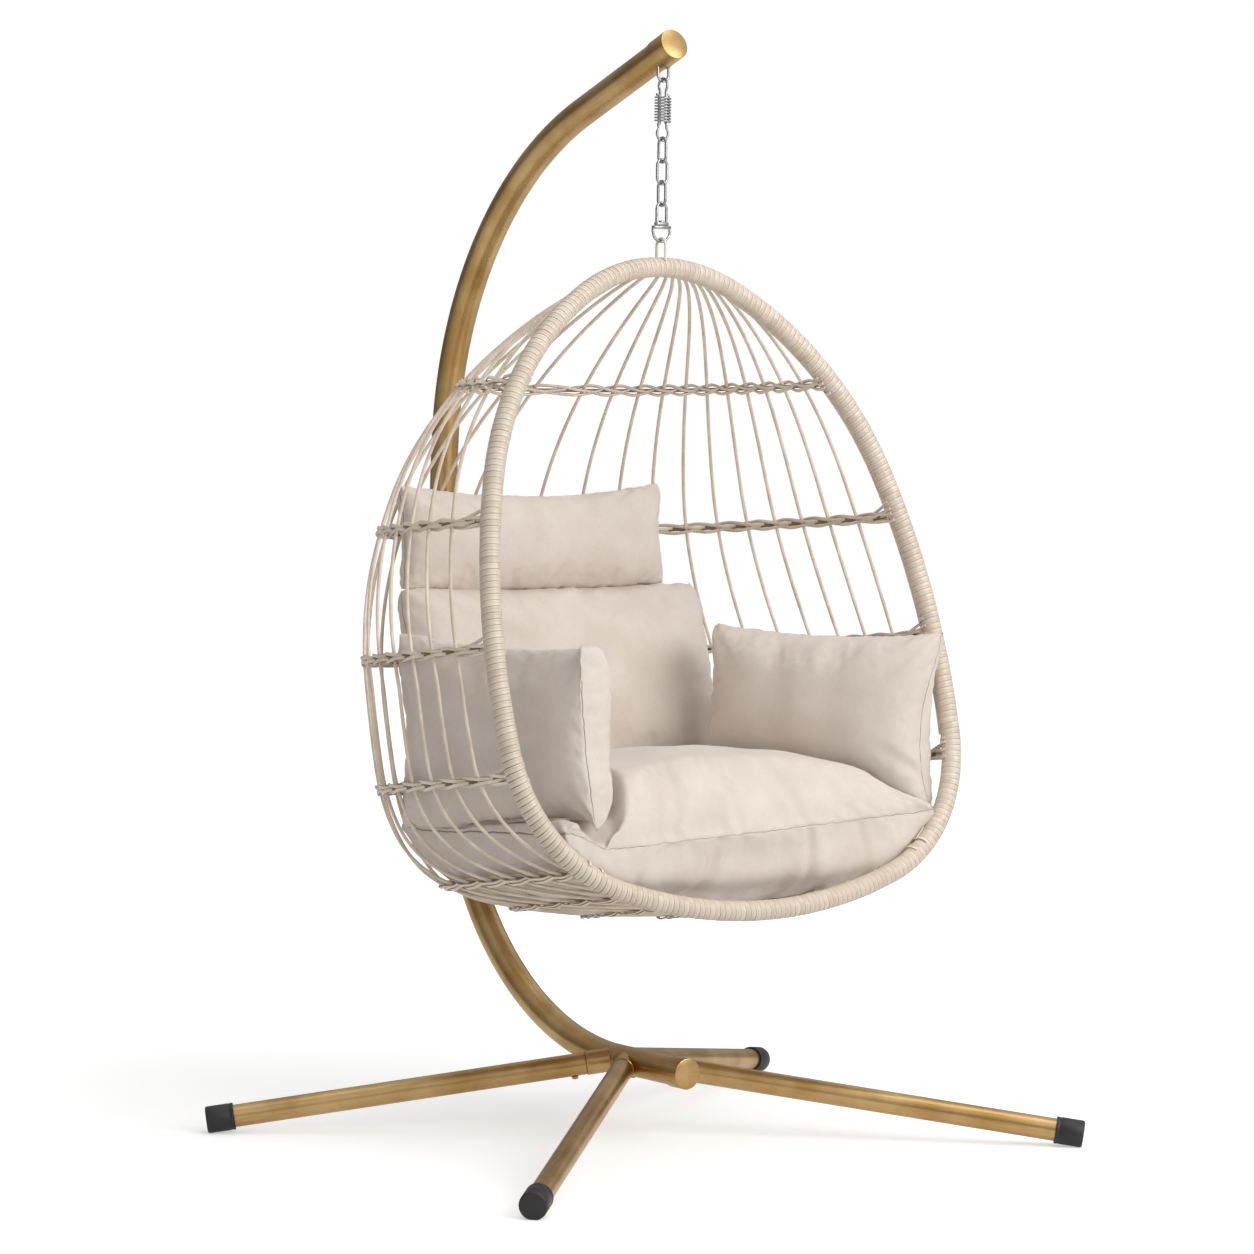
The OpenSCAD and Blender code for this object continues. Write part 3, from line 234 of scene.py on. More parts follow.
def spiral_wrap_tree():
    """A flat strand wound round the closed line of the input mesh, a whole number of turns."""
    net, given = geometry_tree("spiral_wrap", {
        "Radius": ("Float", 0.0166), "Turns": ("Int", 300), "Line Length": ("Float", 3.2),
        "Points Per Turn": ("Int", 20), "Width": ("Float", 0.0105), "Thickness": ("Float", 0.0018),
        "Unevenness": ("Float", 0.0003), "Seed": ("Float", 3.0), "Sides": ("Int", 8),
        "Material": ("Material", None)})
    core = net.add("GeometryNodeMeshToCurve", {}, {"Mesh": given["Geometry"]})
    count = given["Turns"] * given["Points Per Turn"]
    index = net.add("GeometryNodeInputIndex")
    turn = index / given["Points Per Turn"]
    at = turn / given["Turns"] * given["Line Length"]
    spot = net.add("GeometryNodeSampleCurve", {"mode": "LENGTH"}, {"Curves": core, "Length": at})
    tangent, normal = spot.out("Tangent"), spot.out("Normal")
    side = net.add("ShaderNodeVectorMath", {"operation": "CROSS_PRODUCT"}, {0: tangent, 1: normal})
    angle = turn * (2 * math.pi)
    radial = normal * angle.math("COSINE") + side * angle.math("SINE")
    uneven = net.add("ShaderNodeTexNoise", {"noise_dimensions": "1D"},
                     {"W": turn.math("FLOOR") * 1.37 + given["Seed"], "Scale": 1.0, "Detail": 0.0})
    reach = given["Radius"] + (uneven - 0.5) * given["Unevenness"] * 2.0
    line = net.add("GeometryNodeMeshLine", {}, {"Count": count, "Offset": (0, 0, 0.0001)})
    line = store(net, line, "turn", turn)
    line = store(net, line, "out", radial, "FLOAT_VECTOR")
    line = net.add("GeometryNodeSetPosition", {}, {"Geometry": line, "Position": spot.out("Position") + radial * reach})
    line = net.add("GeometryNodeMeshToCurve", {}, {"Mesh": line})
    line = net.add("GeometryNodeSetSplineCyclic", {}, {"Geometry": line, "Cyclic": True})
    out = net.add("GeometryNodeInputNamedAttribute", {"data_type": "FLOAT_VECTOR"}, {"Name": "out"})
    line = net.add("GeometryNodeSetCurveNormal", {"mode": "FREE"}, {"Curve": line, "Normal": out})
    length = net.add("GeometryNodeSplineParameter").out("Length")
    line = store(net, line, "along", length)
    return end_tree(net, strand_body(net, line, given), given["Material"])


def coil_tree():
    """A coil spring about +Z."""
    net, given = geometry_tree("coil", {
        "Radius": ("Float", 0.0135), "Wire": ("Float", 0.0015), "Turns": ("Float", 9.0), "Height": ("Float", 0.045),
        "Centre": ("Vector", None), "Sides": ("Int", 12), "Material": ("Material", None)})
    spiral = net.add("GeometryNodeCurveSpiral", {}, {
        "Resolution": 28, "Rotations": given["Turns"], "Start Radius": given["Radius"],
        "End Radius": given["Radius"], "Height": given["Height"]})
    spiral = net.add("GeometryNodeTransform", {}, {"Geometry": spiral, "Translation": given["Centre"]})
    length = net.add("GeometryNodeSplineParameter").out("Length")
    spiral = store(net, spiral, "along", length)
    ring = net.add("GeometryNodeCurvePrimitiveCircle", {}, {"Resolution": given["Sides"], "Radius": given["Wire"]})
    coil = net.add("GeometryNodeCurveToMesh", {}, {"Curve": spiral, "Profile Curve": ring, "Fill Caps": True})
    return end_tree(net, coil, given["Material"])


def linked(name, data):
    made = bpy.data.objects.new(name, data)
    bpy.context.scene.collection.objects.link(made)
    return made


def grow(name, tree, source, **settings):
    """Runs a tree on a mesh and gives back the plain mesh it makes, as an object at the origin."""
    held = linked(name + "_source", source)
    modifier = held.modifiers.new("grow", "NODES")
    modifier.node_group = tree
    wanted = {k.replace("_", " "): v for k, v in settings.items()}
    for item in tree.interface.items_tree:
        if item.item_type == "SOCKET" and item.in_out == "INPUT" and item.name in wanted:
            modifier[item.identifier] = wanted.pop(item.name)
    if wanted:
        raise ValueError(f"{tree.name} has no input named {sorted(wanted)}")
    held.update_tag()
    ready = held.evaluated_get(bpy.context.evaluated_depsgraph_get())
    mesh = bpy.data.meshes.new_from_object(ready)
    held.modifiers.clear()
    bpy.data.objects.remove(held)
    mesh.name = name
    return linked(name, mesh)


def lines_mesh(name, lines, closed=False, out=None):
    """A mesh of polylines, with an optional unit vector for each point."""
    points, edges, vectors = [], [], []
    for i, line in enumerate(lines):
        start = len(points)
        points += [tuple(p) for p in line]
        edges += [(start + k, start + k + 1) for k in range(len(line) - 1)]
        if closed:
            edges.append((len(points) - 1, start))
        if out is not None:
            vectors += [tuple(v) for v in out[i]]
    mesh = bpy.data.meshes.new(name)
    mesh.from_pydata(points, edges, [])
    if out is not None:
        layer = mesh.attributes.new("out", "FLOAT_VECTOR", "POINT")
        layer.data.foreach_set("vector", np.array(vectors, np.float32).ravel())
    return mesh


# ---------- paths ----------
def walk(run, start, step=0.004):
    """Points along straights (length, 0) and bends (radius, turn in degrees) from (x, y, heading)."""
    x, y, h = start[0], start[1], math.radians(start[2])
    points = [(x, y)]
    for size, turn in run:
        if turn == 0:
            n = max(1, round(size / step))
            points += [(x + size * i / n * math.cos(h), y + size * i / n * math.sin(h)) for i in range(1, n + 1)]
        else:
            k = math.copysign(size, turn)
            cx, cy = x - k * math.sin(h), y + k * math.cos(h)
            n = max(3, round(abs(math.radians(turn)) * size / step))
            for i in range(1, n + 1):
                g = h + math.radians(turn) * i / n
                points.append((cx + k * math.sin(g), cy - k * math.cos(g)))
            h += math.radians(turn)
        x, y = points[-1]
    return np.array(points), (x, y, math.degrees(h))


def in_xz(points, z):
    """Points drawn across the chair through its hanging axis: local Y runs up."""
    return [(p[0], HANG_Y, z + p[1]) for p in points]


def in_yz(points, z):
    return [(0.0, HANG_Y + p[0], z + p[1]) for p in points]


def rim_end(i):
    p = np.zeros(2)
    for k in range(i):
        a, b = math.radians(RIM_TURN[k]), math.radians(RIM_TURN[k + 1])
        p += RIM_R[k] * np.array([math.sin(b) - math.sin(a), math.cos(a) - math.cos(b)])
    return p


RIM_C = [rim_end(i) + RIM_R[i] * np.array([-math.sin(math.radians(RIM_TURN[i])), math.cos(math.radians(RIM_TURN[i]))])
         for i in range(5)]
RIM_V = [rim_end(i)[1] for i in range(6)]


def in_rim_plane(x, v, w=0.0):
    return np.array([x, HANG_Y - v * math.sin(RIM_LEAN) + w * math.cos(RIM_LEAN),
                     CROWN_Z - v * math.cos(RIM_LEAN) - w * math.sin(RIM_LEAN)])


def rim_x(v):
    i = next((k for k in range(5) if v < RIM_V[k + 1]), 4)
    return RIM_C[i][0] + math.sqrt(max(0.0, RIM_R[i] ** 2 - (v - RIM_C[i][1]) ** 2))


rim_points = [in_rim_plane(*p) for p in walk(
    [(RIM_R[0], 60)] + [(RIM_R[i], RIM_TURN[i + 1] - RIM_TURN[i]) for i in (1, 2, 3)]
    + [(RIM_R[4], 2 * (180 - RIM_TURN[4]))] + [(RIM_R[i], RIM_TURN[i + 1] - RIM_TURN[i]) for i in (3, 2, 1)],
    (-rim_end(1)[0], rim_end(1)[1], -30), 0.006)[0][:-1]]
rim_line = np.array(rim_points)


def rim_gap(p):
    """Distance from a point to the rim tube's centre line, close enough for trimming."""
    return float(np.sqrt(((rim_line - p) ** 2).sum(1).min()))


def rim_near(p):
    """The nearest point of the rim tube's centre line, and the unit vector along it."""
    near = int(((rim_line - p) ** 2).sum(1).argmin())
    return rim_line[near], unit(rim_line[(near + 1) % len(rim_line)] - rim_line[near - 1])


def deep_at(h):
    if h < BELLY:
        return 1 - (1 - h / BELLY) ** 2.1
    return math.sqrt(max(0.0, 1 - ((h - BELLY) / (1 - BELLY)) ** 8))


def shell(t, a):
    """A point of the basket's surface: t from the crown (0) to the bottom (180), a across it."""
    t, a = math.radians(t), math.radians(a)
    h = (1 - math.cos(t)) / 2
    v = h * RIM_H
    deep = deep_at(h)
    bulge = LOW_BULGE * h ** 4 * deep
    c, s = math.cos(a), max(0.0, math.sin(a))
    back = BASKET_DEPTH * deep * s ** (2 / 2.8)
    x = (rim_x(v) + bulge * (1 - (1 - s) ** 4)) * math.copysign(abs(c) ** (2 / 2.8), c)
    return np.array([x, HANG_Y - v * math.sin(RIM_LEAN) + back,
                     CROWN_Z - v * math.cos(RIM_LEAN) - (0.02 + 0.14 * h) * back])


def rib_angle(s, t):
    full = 180 * s / (RIB_COUNT + 1) - min(14, 11 * (1 - math.cos(math.radians(t)))) \
        * math.sin(math.radians(360 * s / (RIB_COUNT + 1)))
    end = 150 + 28 * (min(s, RIB_COUNT + 1 - s) - 1) / (RIB_COUNT / 2 - 1)
    f = min(1.0, max(0.0, (t / end - 0.8) / 0.2))
    keep = 1 - f * f
    return full * keep if 2 * s < RIB_COUNT + 1 else 180 - (180 - full) * keep


def rib_point(s, t):
    return shell(t, rib_angle(s, t))


def unit(v):
    return v / max(np.linalg.norm(v), 1e-9)


def weave_frame(s, t):
    """Unit vectors at a place on the weave: along the hoop, outwards, and up the rib."""
    along = unit(rib_point(s + 0.02, t) - rib_point(s - 0.02, t))
    rib = unit(rib_point(s, t + 0.5) - rib_point(s, t - 0.5))
    out = unit(np.cross(along, rib))
    return along, out, np.cross(out, along)


# ---------- finishes ----------
# dark and light tone of each
GOLD_TONES = (0.400, 0.240, 0.084), (0.565, 0.385, 0.178)
ZINC_TONES = (0.27, 0.27, 0.275), (0.46, 0.46, 0.465)
RUBBER_TONES = (0.007, 0.007, 0.0075), (0.013, 0.013, 0.0135)
STRAND_TONES = (0.70, 0.585, 0.465), (0.84, 0.735, 0.615)
ROD_TONES = (0.66, 0.54, 0.42), (0.82, 0.71, 0.59)
# painted shade: a dark, shadowed strand colour, for the rim tube seen in the wrapping's seams and for the strips
# between each hoop's rows
CORE_SHADE_TONES = (0.20, 0.14, 0.085), (0.30, 0.215, 0.14)
CLOTH_TONES = (0.640, 0.552, 0.486), (0.715, 0.633, 0.567)
THREAD_PITCH = 0.0011
# painted shade: the first is the strand colour in the gaps between strands and where the wrapping's ends meet
# painted shade: the third is the cushion cloth's colour along its sunk seams
STRAND_GAP_SHADE, WRAP_SHADE, CLOTH_SEAM_SHADE = (0.30, 0.21, 0.135), (0.34, 0.27, 0.20), (0.20, 0.16, 0.135)


def finish(name, paint):
    """A material; paint(net) gives the values or links of the surface, and a height for its bump."""
    material = bpy.data.materials.new(name)
    material.use_nodes = True
    net = Net(material.node_tree)
    net.tree.nodes.clear()
    values, height, depth = paint(net)
    if height is not None:
        values["Normal"] = net.add("ShaderNodeBump", {}, {"Height": height, "Strength": 1.0, "Distance": depth})
    skin = net.add("ShaderNodeBsdfPrincipled", {}, values)
    last = net.tree.nodes.new("ShaderNodeOutputMaterial")
    net.tree.links.new(skin.socket, last.inputs[0])
    return material


def attribute(net, name, kind="Fac"):
    return net.add("ShaderNodeAttribute", {"attribute_name": name}).out(kind)


def uv_metres(net):
    parts = net.add("ShaderNodeSeparateXYZ", {}, {0: net.add("ShaderNodeTexCoord").out("UV")})
    return parts, parts.out("Y")


def vector(net, x, y, z=0.0):
    return net.add("ShaderNodeCombineXYZ", {}, {"X": x, "Y": y, "Z": z})


def noise(net, where, scale, detail=3.0, rough=0.55):
    return net.add("ShaderNodeTexNoise", {}, {"Vector": where, "Scale": scale, "Detail": detail, "Roughness": rough})


def brushed_gold(net):
    u, v = uv_metres(net)
    place = net.add("ShaderNodeTexCoord").out("Object")
    streak = noise(net, vector(net, u * 14.0, v * 900.0), 1.0, 4.0)
    cloud = noise(net, place, 9.0, 3.0)
    tone = (streak - 0.5) * 0.55 + cloud
    colour = net.mix(tone.between(0.3, 0.75), *GOLD_TONES)
    rough = streak * 0.12 + cloud * 0.06 + 0.24
    return {"Base Color": colour, "Metallic": 1.0, "Roughness": rough}, streak, 0.00004


def zinc(net):
    place = net.add("ShaderNodeTexCoord").out("Object")
    spangle = noise(net, place, 420.0, 2.0)
    colour = net.mix(spangle.between(0.35, 0.7), *ZINC_TONES)
    return {"Base Color": colour, "Metallic": 1.0, "Roughness": spangle * 0.15 + 0.20}, spangle, 0.00005


def rubber(net):
    place = net.add("ShaderNodeTexCoord").out("Object")
    grain = noise(net, place, 900.0, 2.0)
    cloud = noise(net, place, 30.0, 2.0)
    colour = net.mix(cloud.between(0.3, 0.7), *RUBBER_TONES)
    return {"Base Color": colour, "Roughness": cloud * 0.15 + 0.42}, grain, 0.00008


def strand_skin(net, pitch_tone, ridge_count):
    """Woven flat strand: fine lengthwise ridges, a darker edge that is painted shade in the gaps between strands, and a
    tone that changes from turn to turn.
    """
    along, across = attribute(net, "along"), attribute(net, "across")
    crown = (across * (2 * math.pi)).math("COSINE").math("ABSOLUTE")
    ridge = (across * (2 * math.pi * ridge_count)).math("SINE")
    fibre = noise(net, vector(net, along * 25.0, across * 90.0), 1.0, 3.0)
    step = net.add("ShaderNodeTexNoise", {"noise_dimensions": "1D"},
                   {"W": pitch_tone, "Scale": 1.0, "Detail": 1.0})
    tone = step * 0.75 + fibre * 0.25
    body = net.mix(tone.between(0.30, 0.72), *STRAND_TONES)
    # painted shade: the strand's edges darken as the gaps between strands would
    body = net.mix(crown.between(0.02, 0.48), STRAND_GAP_SHADE, body)
    rough = fibre * 0.18 + 0.30
    return {"Base Color": body, "Roughness": rough, "Coat Weight": 0.25, "Coat Roughness": 0.25}, \
        ridge * 0.35 + fibre, 0.00014


def wrap_strand(net):
    turn = attribute(net, "turn")
    values, height, depth = strand_skin(net, turn.math("FLOOR") * 3.17, 9)
    # painted shade in the gap where the wrapping's ends meet
    tuck = (turn - CROWN_TURN).math("ABSOLUTE").between(0.05, 0.22)
    shaded = net.mix(0.33, values["Base Color"], WRAP_SHADE)
    values["Base Color"] = net.mix(tuck, STRAND_GAP_SHADE, shaded)
    return values, height, depth


def weave_strand(net):
    return strand_skin(net, attribute(net, "along") * 14.0, 9)


def rod_strand(net):
    place = net.add("ShaderNodeTexCoord").out("Object")
    along = attribute(net, "along")
    cloud = noise(net, place, 22.0, 3.0)
    grain = noise(net, along * 330.0, 1.0, 2.0)
    colour = net.mix(cloud.between(0.3, 0.7), *ROD_TONES)
    return {"Base Color": colour, "Roughness": cloud * 0.2 + 0.32, "Coat Weight": 0.15}, grain, 0.00010


def core_shade(net):
    place = net.add("ShaderNodeTexCoord").out("Object")
    cloud = noise(net, place, 60.0, 2.0)
    colour = net.mix(cloud, *CORE_SHADE_TONES)
    return {"Base Color": colour, "Roughness": 0.6}, cloud, 0.0001


def cushion_cloth(net):
    u, v = uv_metres(net)
    thread = 2 * math.pi / THREAD_PITCH
    weft, warp = (u * thread).math("SINE"), (v * thread).math("SINE")
    slub = noise(net, vector(net, u * 60.0, v * 900.0), 1.0, 2.0) \
        + noise(net, vector(net, u * 900.0, v * 60.0), 1.0, 2.0)
    place = net.add("ShaderNodeTexCoord").out("Object")
    cloud = noise(net, place, 14.0, 4.0)
    # painted shade: the cloth darkens along its sunk seam
    seam = attribute(net, "seam").between(0.0003, 0.0017)
    tone = cloud * 0.5 + slub * 0.25
    colour = net.mix(tone.between(0.35, 0.65), *CLOTH_TONES)
    colour = net.mix(seam, CLOTH_SEAM_SHADE, colour)
    height = weft * warp * 0.5 + slub * 0.5
    return {"Base Color": colour, "Roughness": cloud * 0.1 + 0.82, "Sheen Weight": 0.25, "Sheen Roughness": 0.5}, \
        height, 0.00016


GOLD = finish("brushed_champagne_gold", brushed_gold)
ZINC = finish("bright_zinc", zinc)
RUBBER = finish("black_rubber", rubber)
WRAP = finish("rim_wrapping_strand", wrap_strand)
WEAVE = finish("woven_strand", weave_strand)
ROD = finish("round_rattan_rod", rod_strand)
SHADE_CORE = finish("rim_tube_under_wrapping", core_shade)
CLOTH = finish("greige_cushion_cloth", cushion_cloth)


# ---------- solids swept and turned in code ----------
class Solid:
    """Collects swept and turned shapes with a UV map in metres, and becomes one object."""

    def __init__(self):
        self.points, self.faces, self.uvs = [], [], []

    def _skin(self, rings, along, around):
        start, n = len(self.points), len(rings[0])
        for ring in rings:
            self.points += [tuple(p) for p in ring]
        for i in range(len(rings) - 1):
            for j in range(n):
                k = (j + 1) % n
                low, high = start + i * n, start + (i + 1) * n
                self.faces.append((low + j, low + k, high + k, high + j))
                self.uvs += [(along[i], around * j / n), (along[i], around * (j + 1) / n),
                             (along[i + 1], around * (j + 1) / n), (along[i + 1], around * j / n)]
        for i, flip in ((0, True), (len(rings) - 1, False)):
            loop = [start + i * n + j for j in range(n)]
            middle = np.mean([self.points[k] for k in loop], axis=0)
            self.points.append(tuple(middle))
            for j in range(n):
                a, b = loop[j], loop[(j + 1) % n]
                self.faces.append((b, a, len(self.points) - 1) if flip else (a, b, len(self.points) - 1))
                self.uvs += [(along[i], 0.0), (along[i], 0.01), (along[i] + 0.01, 0.005)]

    def sweep(self, line, radius, sides=64, bevel=0.0007, up=(1, 0, 0)):
        line = np.array(line, float)
        steps = np.diff(line, axis=0)
        length = np.concatenate([[0], np.cumsum(np.linalg.norm(steps, axis=1))])
        tangent = np.gradient(line, axis=0)
        tangent /= np.linalg.norm(tangent, axis=1)[:, None]
        side = np.array(up, float)
        rings, along = [], []
        for i, (p, t) in enumerate(zip(line, tangent)):
            side = unit(side - (side @ t) * t)
            other = np.cross(t, side)
            first, last = i == 0, i == len(line) - 1
            cuts = [(0, -bevel)] if not (first or last) else ([(0, 0), (bevel, 1)] if first else [(-bevel, 1), (0, 0)])
            for shift, full in cuts:
                r = radius if full else radius - bevel
                angle = np.arange(sides) * 2 * math.pi / sides
                centre = p + t * shift
                rings.append(centre + r * (np.cos(angle)[:, None] * side + np.sin(angle)[:, None] * other))
                along.append(length[i] + shift)
        self._skin(rings, along, 2 * math.pi * radius)
        return self

    def turn(self, profile, matrix, sides=64):
        """Revolves (radius, height) points about local Z."""
        angle = np.arange(sides) * 2 * math.pi / sides
        rings, along, total, previous = [], [], 0.0, None
        for r, z in profile:
            if previous:
                total += math.hypot(r - previous[0], z - previous[1])
            previous = (r, z)
            along.append(total)
            rings.append([matrix @ Vector((r * math.cos(a), r * math.sin(a), z)) for a in angle])
        self._skin(rings, along, 2 * math.pi * max(r for r, _ in profile))
        return self

    def piece(self, name, material, floor=None):
        mesh = bpy.data.meshes.new(name)
        points = np.array(self.points)
        if floor is not None:
            points[:, 2] = np.maximum(points[:, 2], floor)
        mesh.from_pydata([tuple(p) for p in points], [], self.faces)
        layer = mesh.uv_layers.new(name="UVMap")
        layer.data.foreach_set("uv", np.array(self.uvs, np.float32).ravel())
        shell_ = bmesh.new()
        shell_.from_mesh(mesh)
        bmesh.ops.remove_doubles(shell_, verts=shell_.verts, dist=1e-7)
        bmesh.ops.recalc_face_normals(shell_, faces=shell_.faces)
        shell_.to_mesh(mesh)
        shell_.free()
        mesh.materials.append(material)
        mesh.shade_smooth()
        mesh.set_sharp_from_angle(angle=math.radians(40))
        return linked(name, mesh)


def settle(piece, body, slot, *replaced):
    """Gives a piece the CAD nodes it stands for, and the body it moves with; its slot is not used."""
    if replaced:
        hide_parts(*replaced)
    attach(piece, body)
    return piece


def axes_at(origin, z_axis, x_hint):
    z = Vector(z_axis).normalized()
    x = Vector(x_hint)
    x = (x - x.dot(z) * z).normalized()
    y = z.cross(x)
    return Matrix(((x.x, y.x, z.x, origin[0]), (x.y, y.y, z.y, origin[1]), (x.z, y.z, z.z, origin[2]), (0, 0, 0, 1)))


# ---------- camera ----------
CAMERA_AT, CAMERA_TURN = (-4.399, -5.9261, 1.320), (-36.65, 3.24, 0.66)      # yaw, pitch and roll
FOCAL_PIXELS, FRAME_PIXELS = 4159, 1254


def make_camera():
    yaw, pitch, roll = (math.radians(a) for a in CAMERA_TURN)
    back = Vector((math.sin(yaw) * math.cos(pitch), -math.cos(yaw) * math.cos(pitch), math.sin(pitch)))
    right = Vector((math.cos(yaw), math.sin(yaw), 0))
    up = back.cross(right)
    across = math.cos(roll) * right + math.sin(roll) * up
    upward = -math.sin(roll) * right + math.cos(roll) * up
    data = bpy.data.cameras.new("camera")
    data.sensor_width = 36.0
    data.lens = data.sensor_width * FOCAL_PIXELS / FRAME_PIXELS
    camera = linked("camera", data)
    camera.matrix_world = Matrix([(*axis, at) for *axis, at in zip(across, upward, back, CAMERA_AT)] + [(0, 0, 0, 1)])
    bpy.context.scene.camera = camera


make_camera()

# ---------- mast, caps, legs and feet ----------
mast_2d, mast_end = walk([(TAIL, 0), (LOW_R, LOW_A), (BACK_R, BACK_A1), (TAIL, 0)], (SEAM_Y, SEAM_Z, 0), 0.012)
upper_2d, free_end = walk([(0.082 - TAIL, 0), (BACK_R, BACK_A2), (TOP_R, TOP_A), (FREE_LEN, 0)], mast_end, 0.012)


def in_mast_plane(points):
    return [(0.0, p[0], p[1]) for p in points]


def leg_axis(foot, root, side):
    d = Vector((foot[0] * side, foot[1] - root[1], foot[2] - root[2]))
    return Vector((0, root[1], root[2])), d.normalized(), d.length


def shorten(line, start=0.0, end=0.0):
    line = [Vector(p) for p in line]
    line[0] = line[0] + (line[1] - line[0]).normalized() * start
    line[-1] = line[-1] + (line[-2] - line[-1]).normalized() * end
    return line


def collars(solid, foot, root):
    for side in (-1, 1):
        at, d, _ = leg_axis(foot, root, side)
        solid.turn([(COLLAR_R, 0.0), (COLLAR_R, COLLAR_END - 0.0008), (COLLAR_R - 0.0008, COLLAR_END)],
                   axes_at(at, d, (0, 0, -1)), 48)
    return solid


def gilded(solid, node):
    return settle(solid.piece(node + "_dressed", GOLD), "stand", "gold", node)


base = Solid().sweep([(0, SEAM_Y - FOOT_LEN + 0.010 * i, SEAM_Z) for i in range(18)]
                     + [(0, SEAM_Y - 0.0002, SEAM_Z)], MAST_R)
gilded(collars(base, FRONT_FOOT, FRONT_ROOT), "mast_base")
lower = Solid().sweep(in_mast_plane(mast_2d), MAST_R)
gilded(collars(lower, REAR_FOOT, REAR_ROOT), "mast_lower")
upper = Solid().sweep(shorten(in_mast_plane(upper_2d), 0.0002, 0.004), MAST_R)
gilded(upper, "mast_upper")


def cap_profile(length, tube_r):
    return [(tube_r, 0.0), (CAP_R - 0.0006, 0.0), (CAP_R, 0.0006), (CAP_R, length - 0.0016),
            (CAP_R - 0.0005, length - 0.0005), (CAP_R - 0.0016, length), (0.001, length)]


LOW_CAP, TOP_CAP = 0.037, 0.048
front_face = SEAM_Y - FOOT_LEN - 0.0031
gilded(Solid().turn(cap_profile(LOW_CAP, MAST_R), axes_at((0, front_face + LOW_CAP, SEAM_Z), (0, -1, 0), (1, 0, 0))),
       "mast_low_cap")
free_dir = Vector((0, math.cos(math.radians(free_end[2])), math.sin(math.radians(free_end[2]))))
free_at = Vector((0, free_end[0], free_end[1]))
gilded(Solid().turn(cap_profile(TOP_CAP, MAST_R), axes_at(free_at - free_dir * TOP_CAP, free_dir, (1, 0, 0))),
       "mast_top_cap")

LEGS = [(end + hand, foot, root, side) for end, foot, root in (("front_", FRONT_FOOT, FRONT_ROOT),
                                                             ("rear_", REAR_FOOT, REAR_ROOT))
        for hand, side in (("left", 1), ("right", -1))]
for label, foot, root, side in LEGS:
    at, d, reach = leg_axis(foot, root, side)
    line = [at + d * (COLLAR_END + 0.0003 + (reach - 0.0055 - COLLAR_END) * i / 12) for i in range(13)]
    gilded(Solid().sweep(line, LEG_R, 56, 0.0009, up=(0, 0, 1)), "leg_" + label)
    cap = [(LEG_R, -0.050), (0.0236, -0.050), (0.0240, -0.0492), (0.0240, -0.0448), (0.0234, -0.0440),
           (0.0234, -0.0425), (0.0240, -0.0417), (0.0240, -0.0040), (0.0234, -0.0018), (0.0220, -0.0004),
           (0.0205, 0.0), (0.0005, 0.0)]
    rubber_cap = Solid().turn(cap, axes_at(at + d * reach, d, (0, 0, -1)), 56)
    settle(rubber_cap.piece("foot_" + label + "_dressed", RUBBER, 0.0), "stand", "rubber", "foot_" + label)


# ---------- bolts and screws ----------
def fastener_tree():
    """A tapered head with a short shank on every point of the input, with its axis along the point's "out"."""
    net, given = geometry_tree("fastener_heads", {"Radius": ("Float", 0.006), "Height": ("Float", 0.0045),
                                                 "Material": ("Material", None)})
    head = net.add("GeometryNodeMeshCone", {}, {"Vertices": 32, "Radius Bottom": given["Radius"],
                                               "Radius Top": given["Radius"] * 0.72, "Depth": given["Height"]})
    shank = net.add("GeometryNodeMeshCylinder", {}, {"Vertices": 24, "Radius": given["Radius"] * 0.55,
                                                    "Depth": given["Height"] * 2.0})
    shank = net.add("GeometryNodeTransform", {}, {
        "Geometry": shank, "Translation": vector(net, 0.0, 0.0, given["Height"] * -0.9)})
    both = net.add("GeometryNodeJoinGeometry")
    for part in (head, shank):
        net.tree.links.new(part.socket, both.node.inputs[0])
    out = net.add("GeometryNodeInputNamedAttribute", {"data_type": "FLOAT_VECTOR"}, {"Name": "out"})
    aim = net.add("FunctionNodeAlignRotationToVector", {"axis": "Z"}, {"Vector": out})
    heads = net.add("GeometryNodeInstanceOnPoints", {}, {
        "Points": given["Geometry"], "Instance": both, "Rotation": aim})
    return end_tree(net, heads, given["Material"])


heads = fastener_tree()


def fasteners(node, points, outs, radius, height):
    made = grow(node + "_dressed", heads, lines_mesh(node + "_points", [points], out=[outs]), Radius=radius,
                Height=height, Material=GOLD)
    made.data.set_sharp_from_angle(angle=math.radians(35))
    return settle(made, "stand", "gold", node)


bolt_points, bolt_out = [], []
for foot, root in ((FRONT_FOOT, FRONT_ROOT), (REAR_FOOT, REAR_ROOT)):
    for side in (-1, 1):
        at, d, _ = leg_axis(foot, root, side)
        down = axes_at(at, d, (0, 0, -1)).to_3x3() @ Vector((1, 0, 0))
        bolt_points.append(at + d * 0.0805 + down * (LEG_R + 0.0001))
        bolt_out.append(down)
fasteners("leg_bolts", bolt_points, bolt_out, 0.0068, 0.0050)
back_dir = Vector((0, math.cos(math.radians(mast_end[2])), math.sin(math.radians(mast_end[2]))))
back_out = Vector((0, back_dir.z, -back_dir.y))
SCREW_IN = 0.030                                 # from a seam of the mast to its screw
screw_points = [Vector((0, SEAM_Y - SCREW_IN, SEAM_Z - MAST_R)),
                Vector((0, mast_end[0], mast_end[1])) + back_dir * SCREW_IN + back_out * MAST_R]
fasteners("mast_screws", screw_points, [Vector((0, 0, -1)), back_out], 0.0054, 0.0030)

# ---------- hanging hardware ----------
WIRE_R, BAR_R = 0.0025, 0.00225                  # wire of the eye, links, swivel and hook, and of the drawbars
bar = round_bar_tree()


def wire(name, lines, radius, body, node_names, material=ZINC, slot="chain", closed=False, sides=16):
    made = grow(name, bar, lines_mesh(name + "_line", lines, closed), Radius=radius, Sides=sides, Material=material)
    return settle(made, body, slot, *node_names)


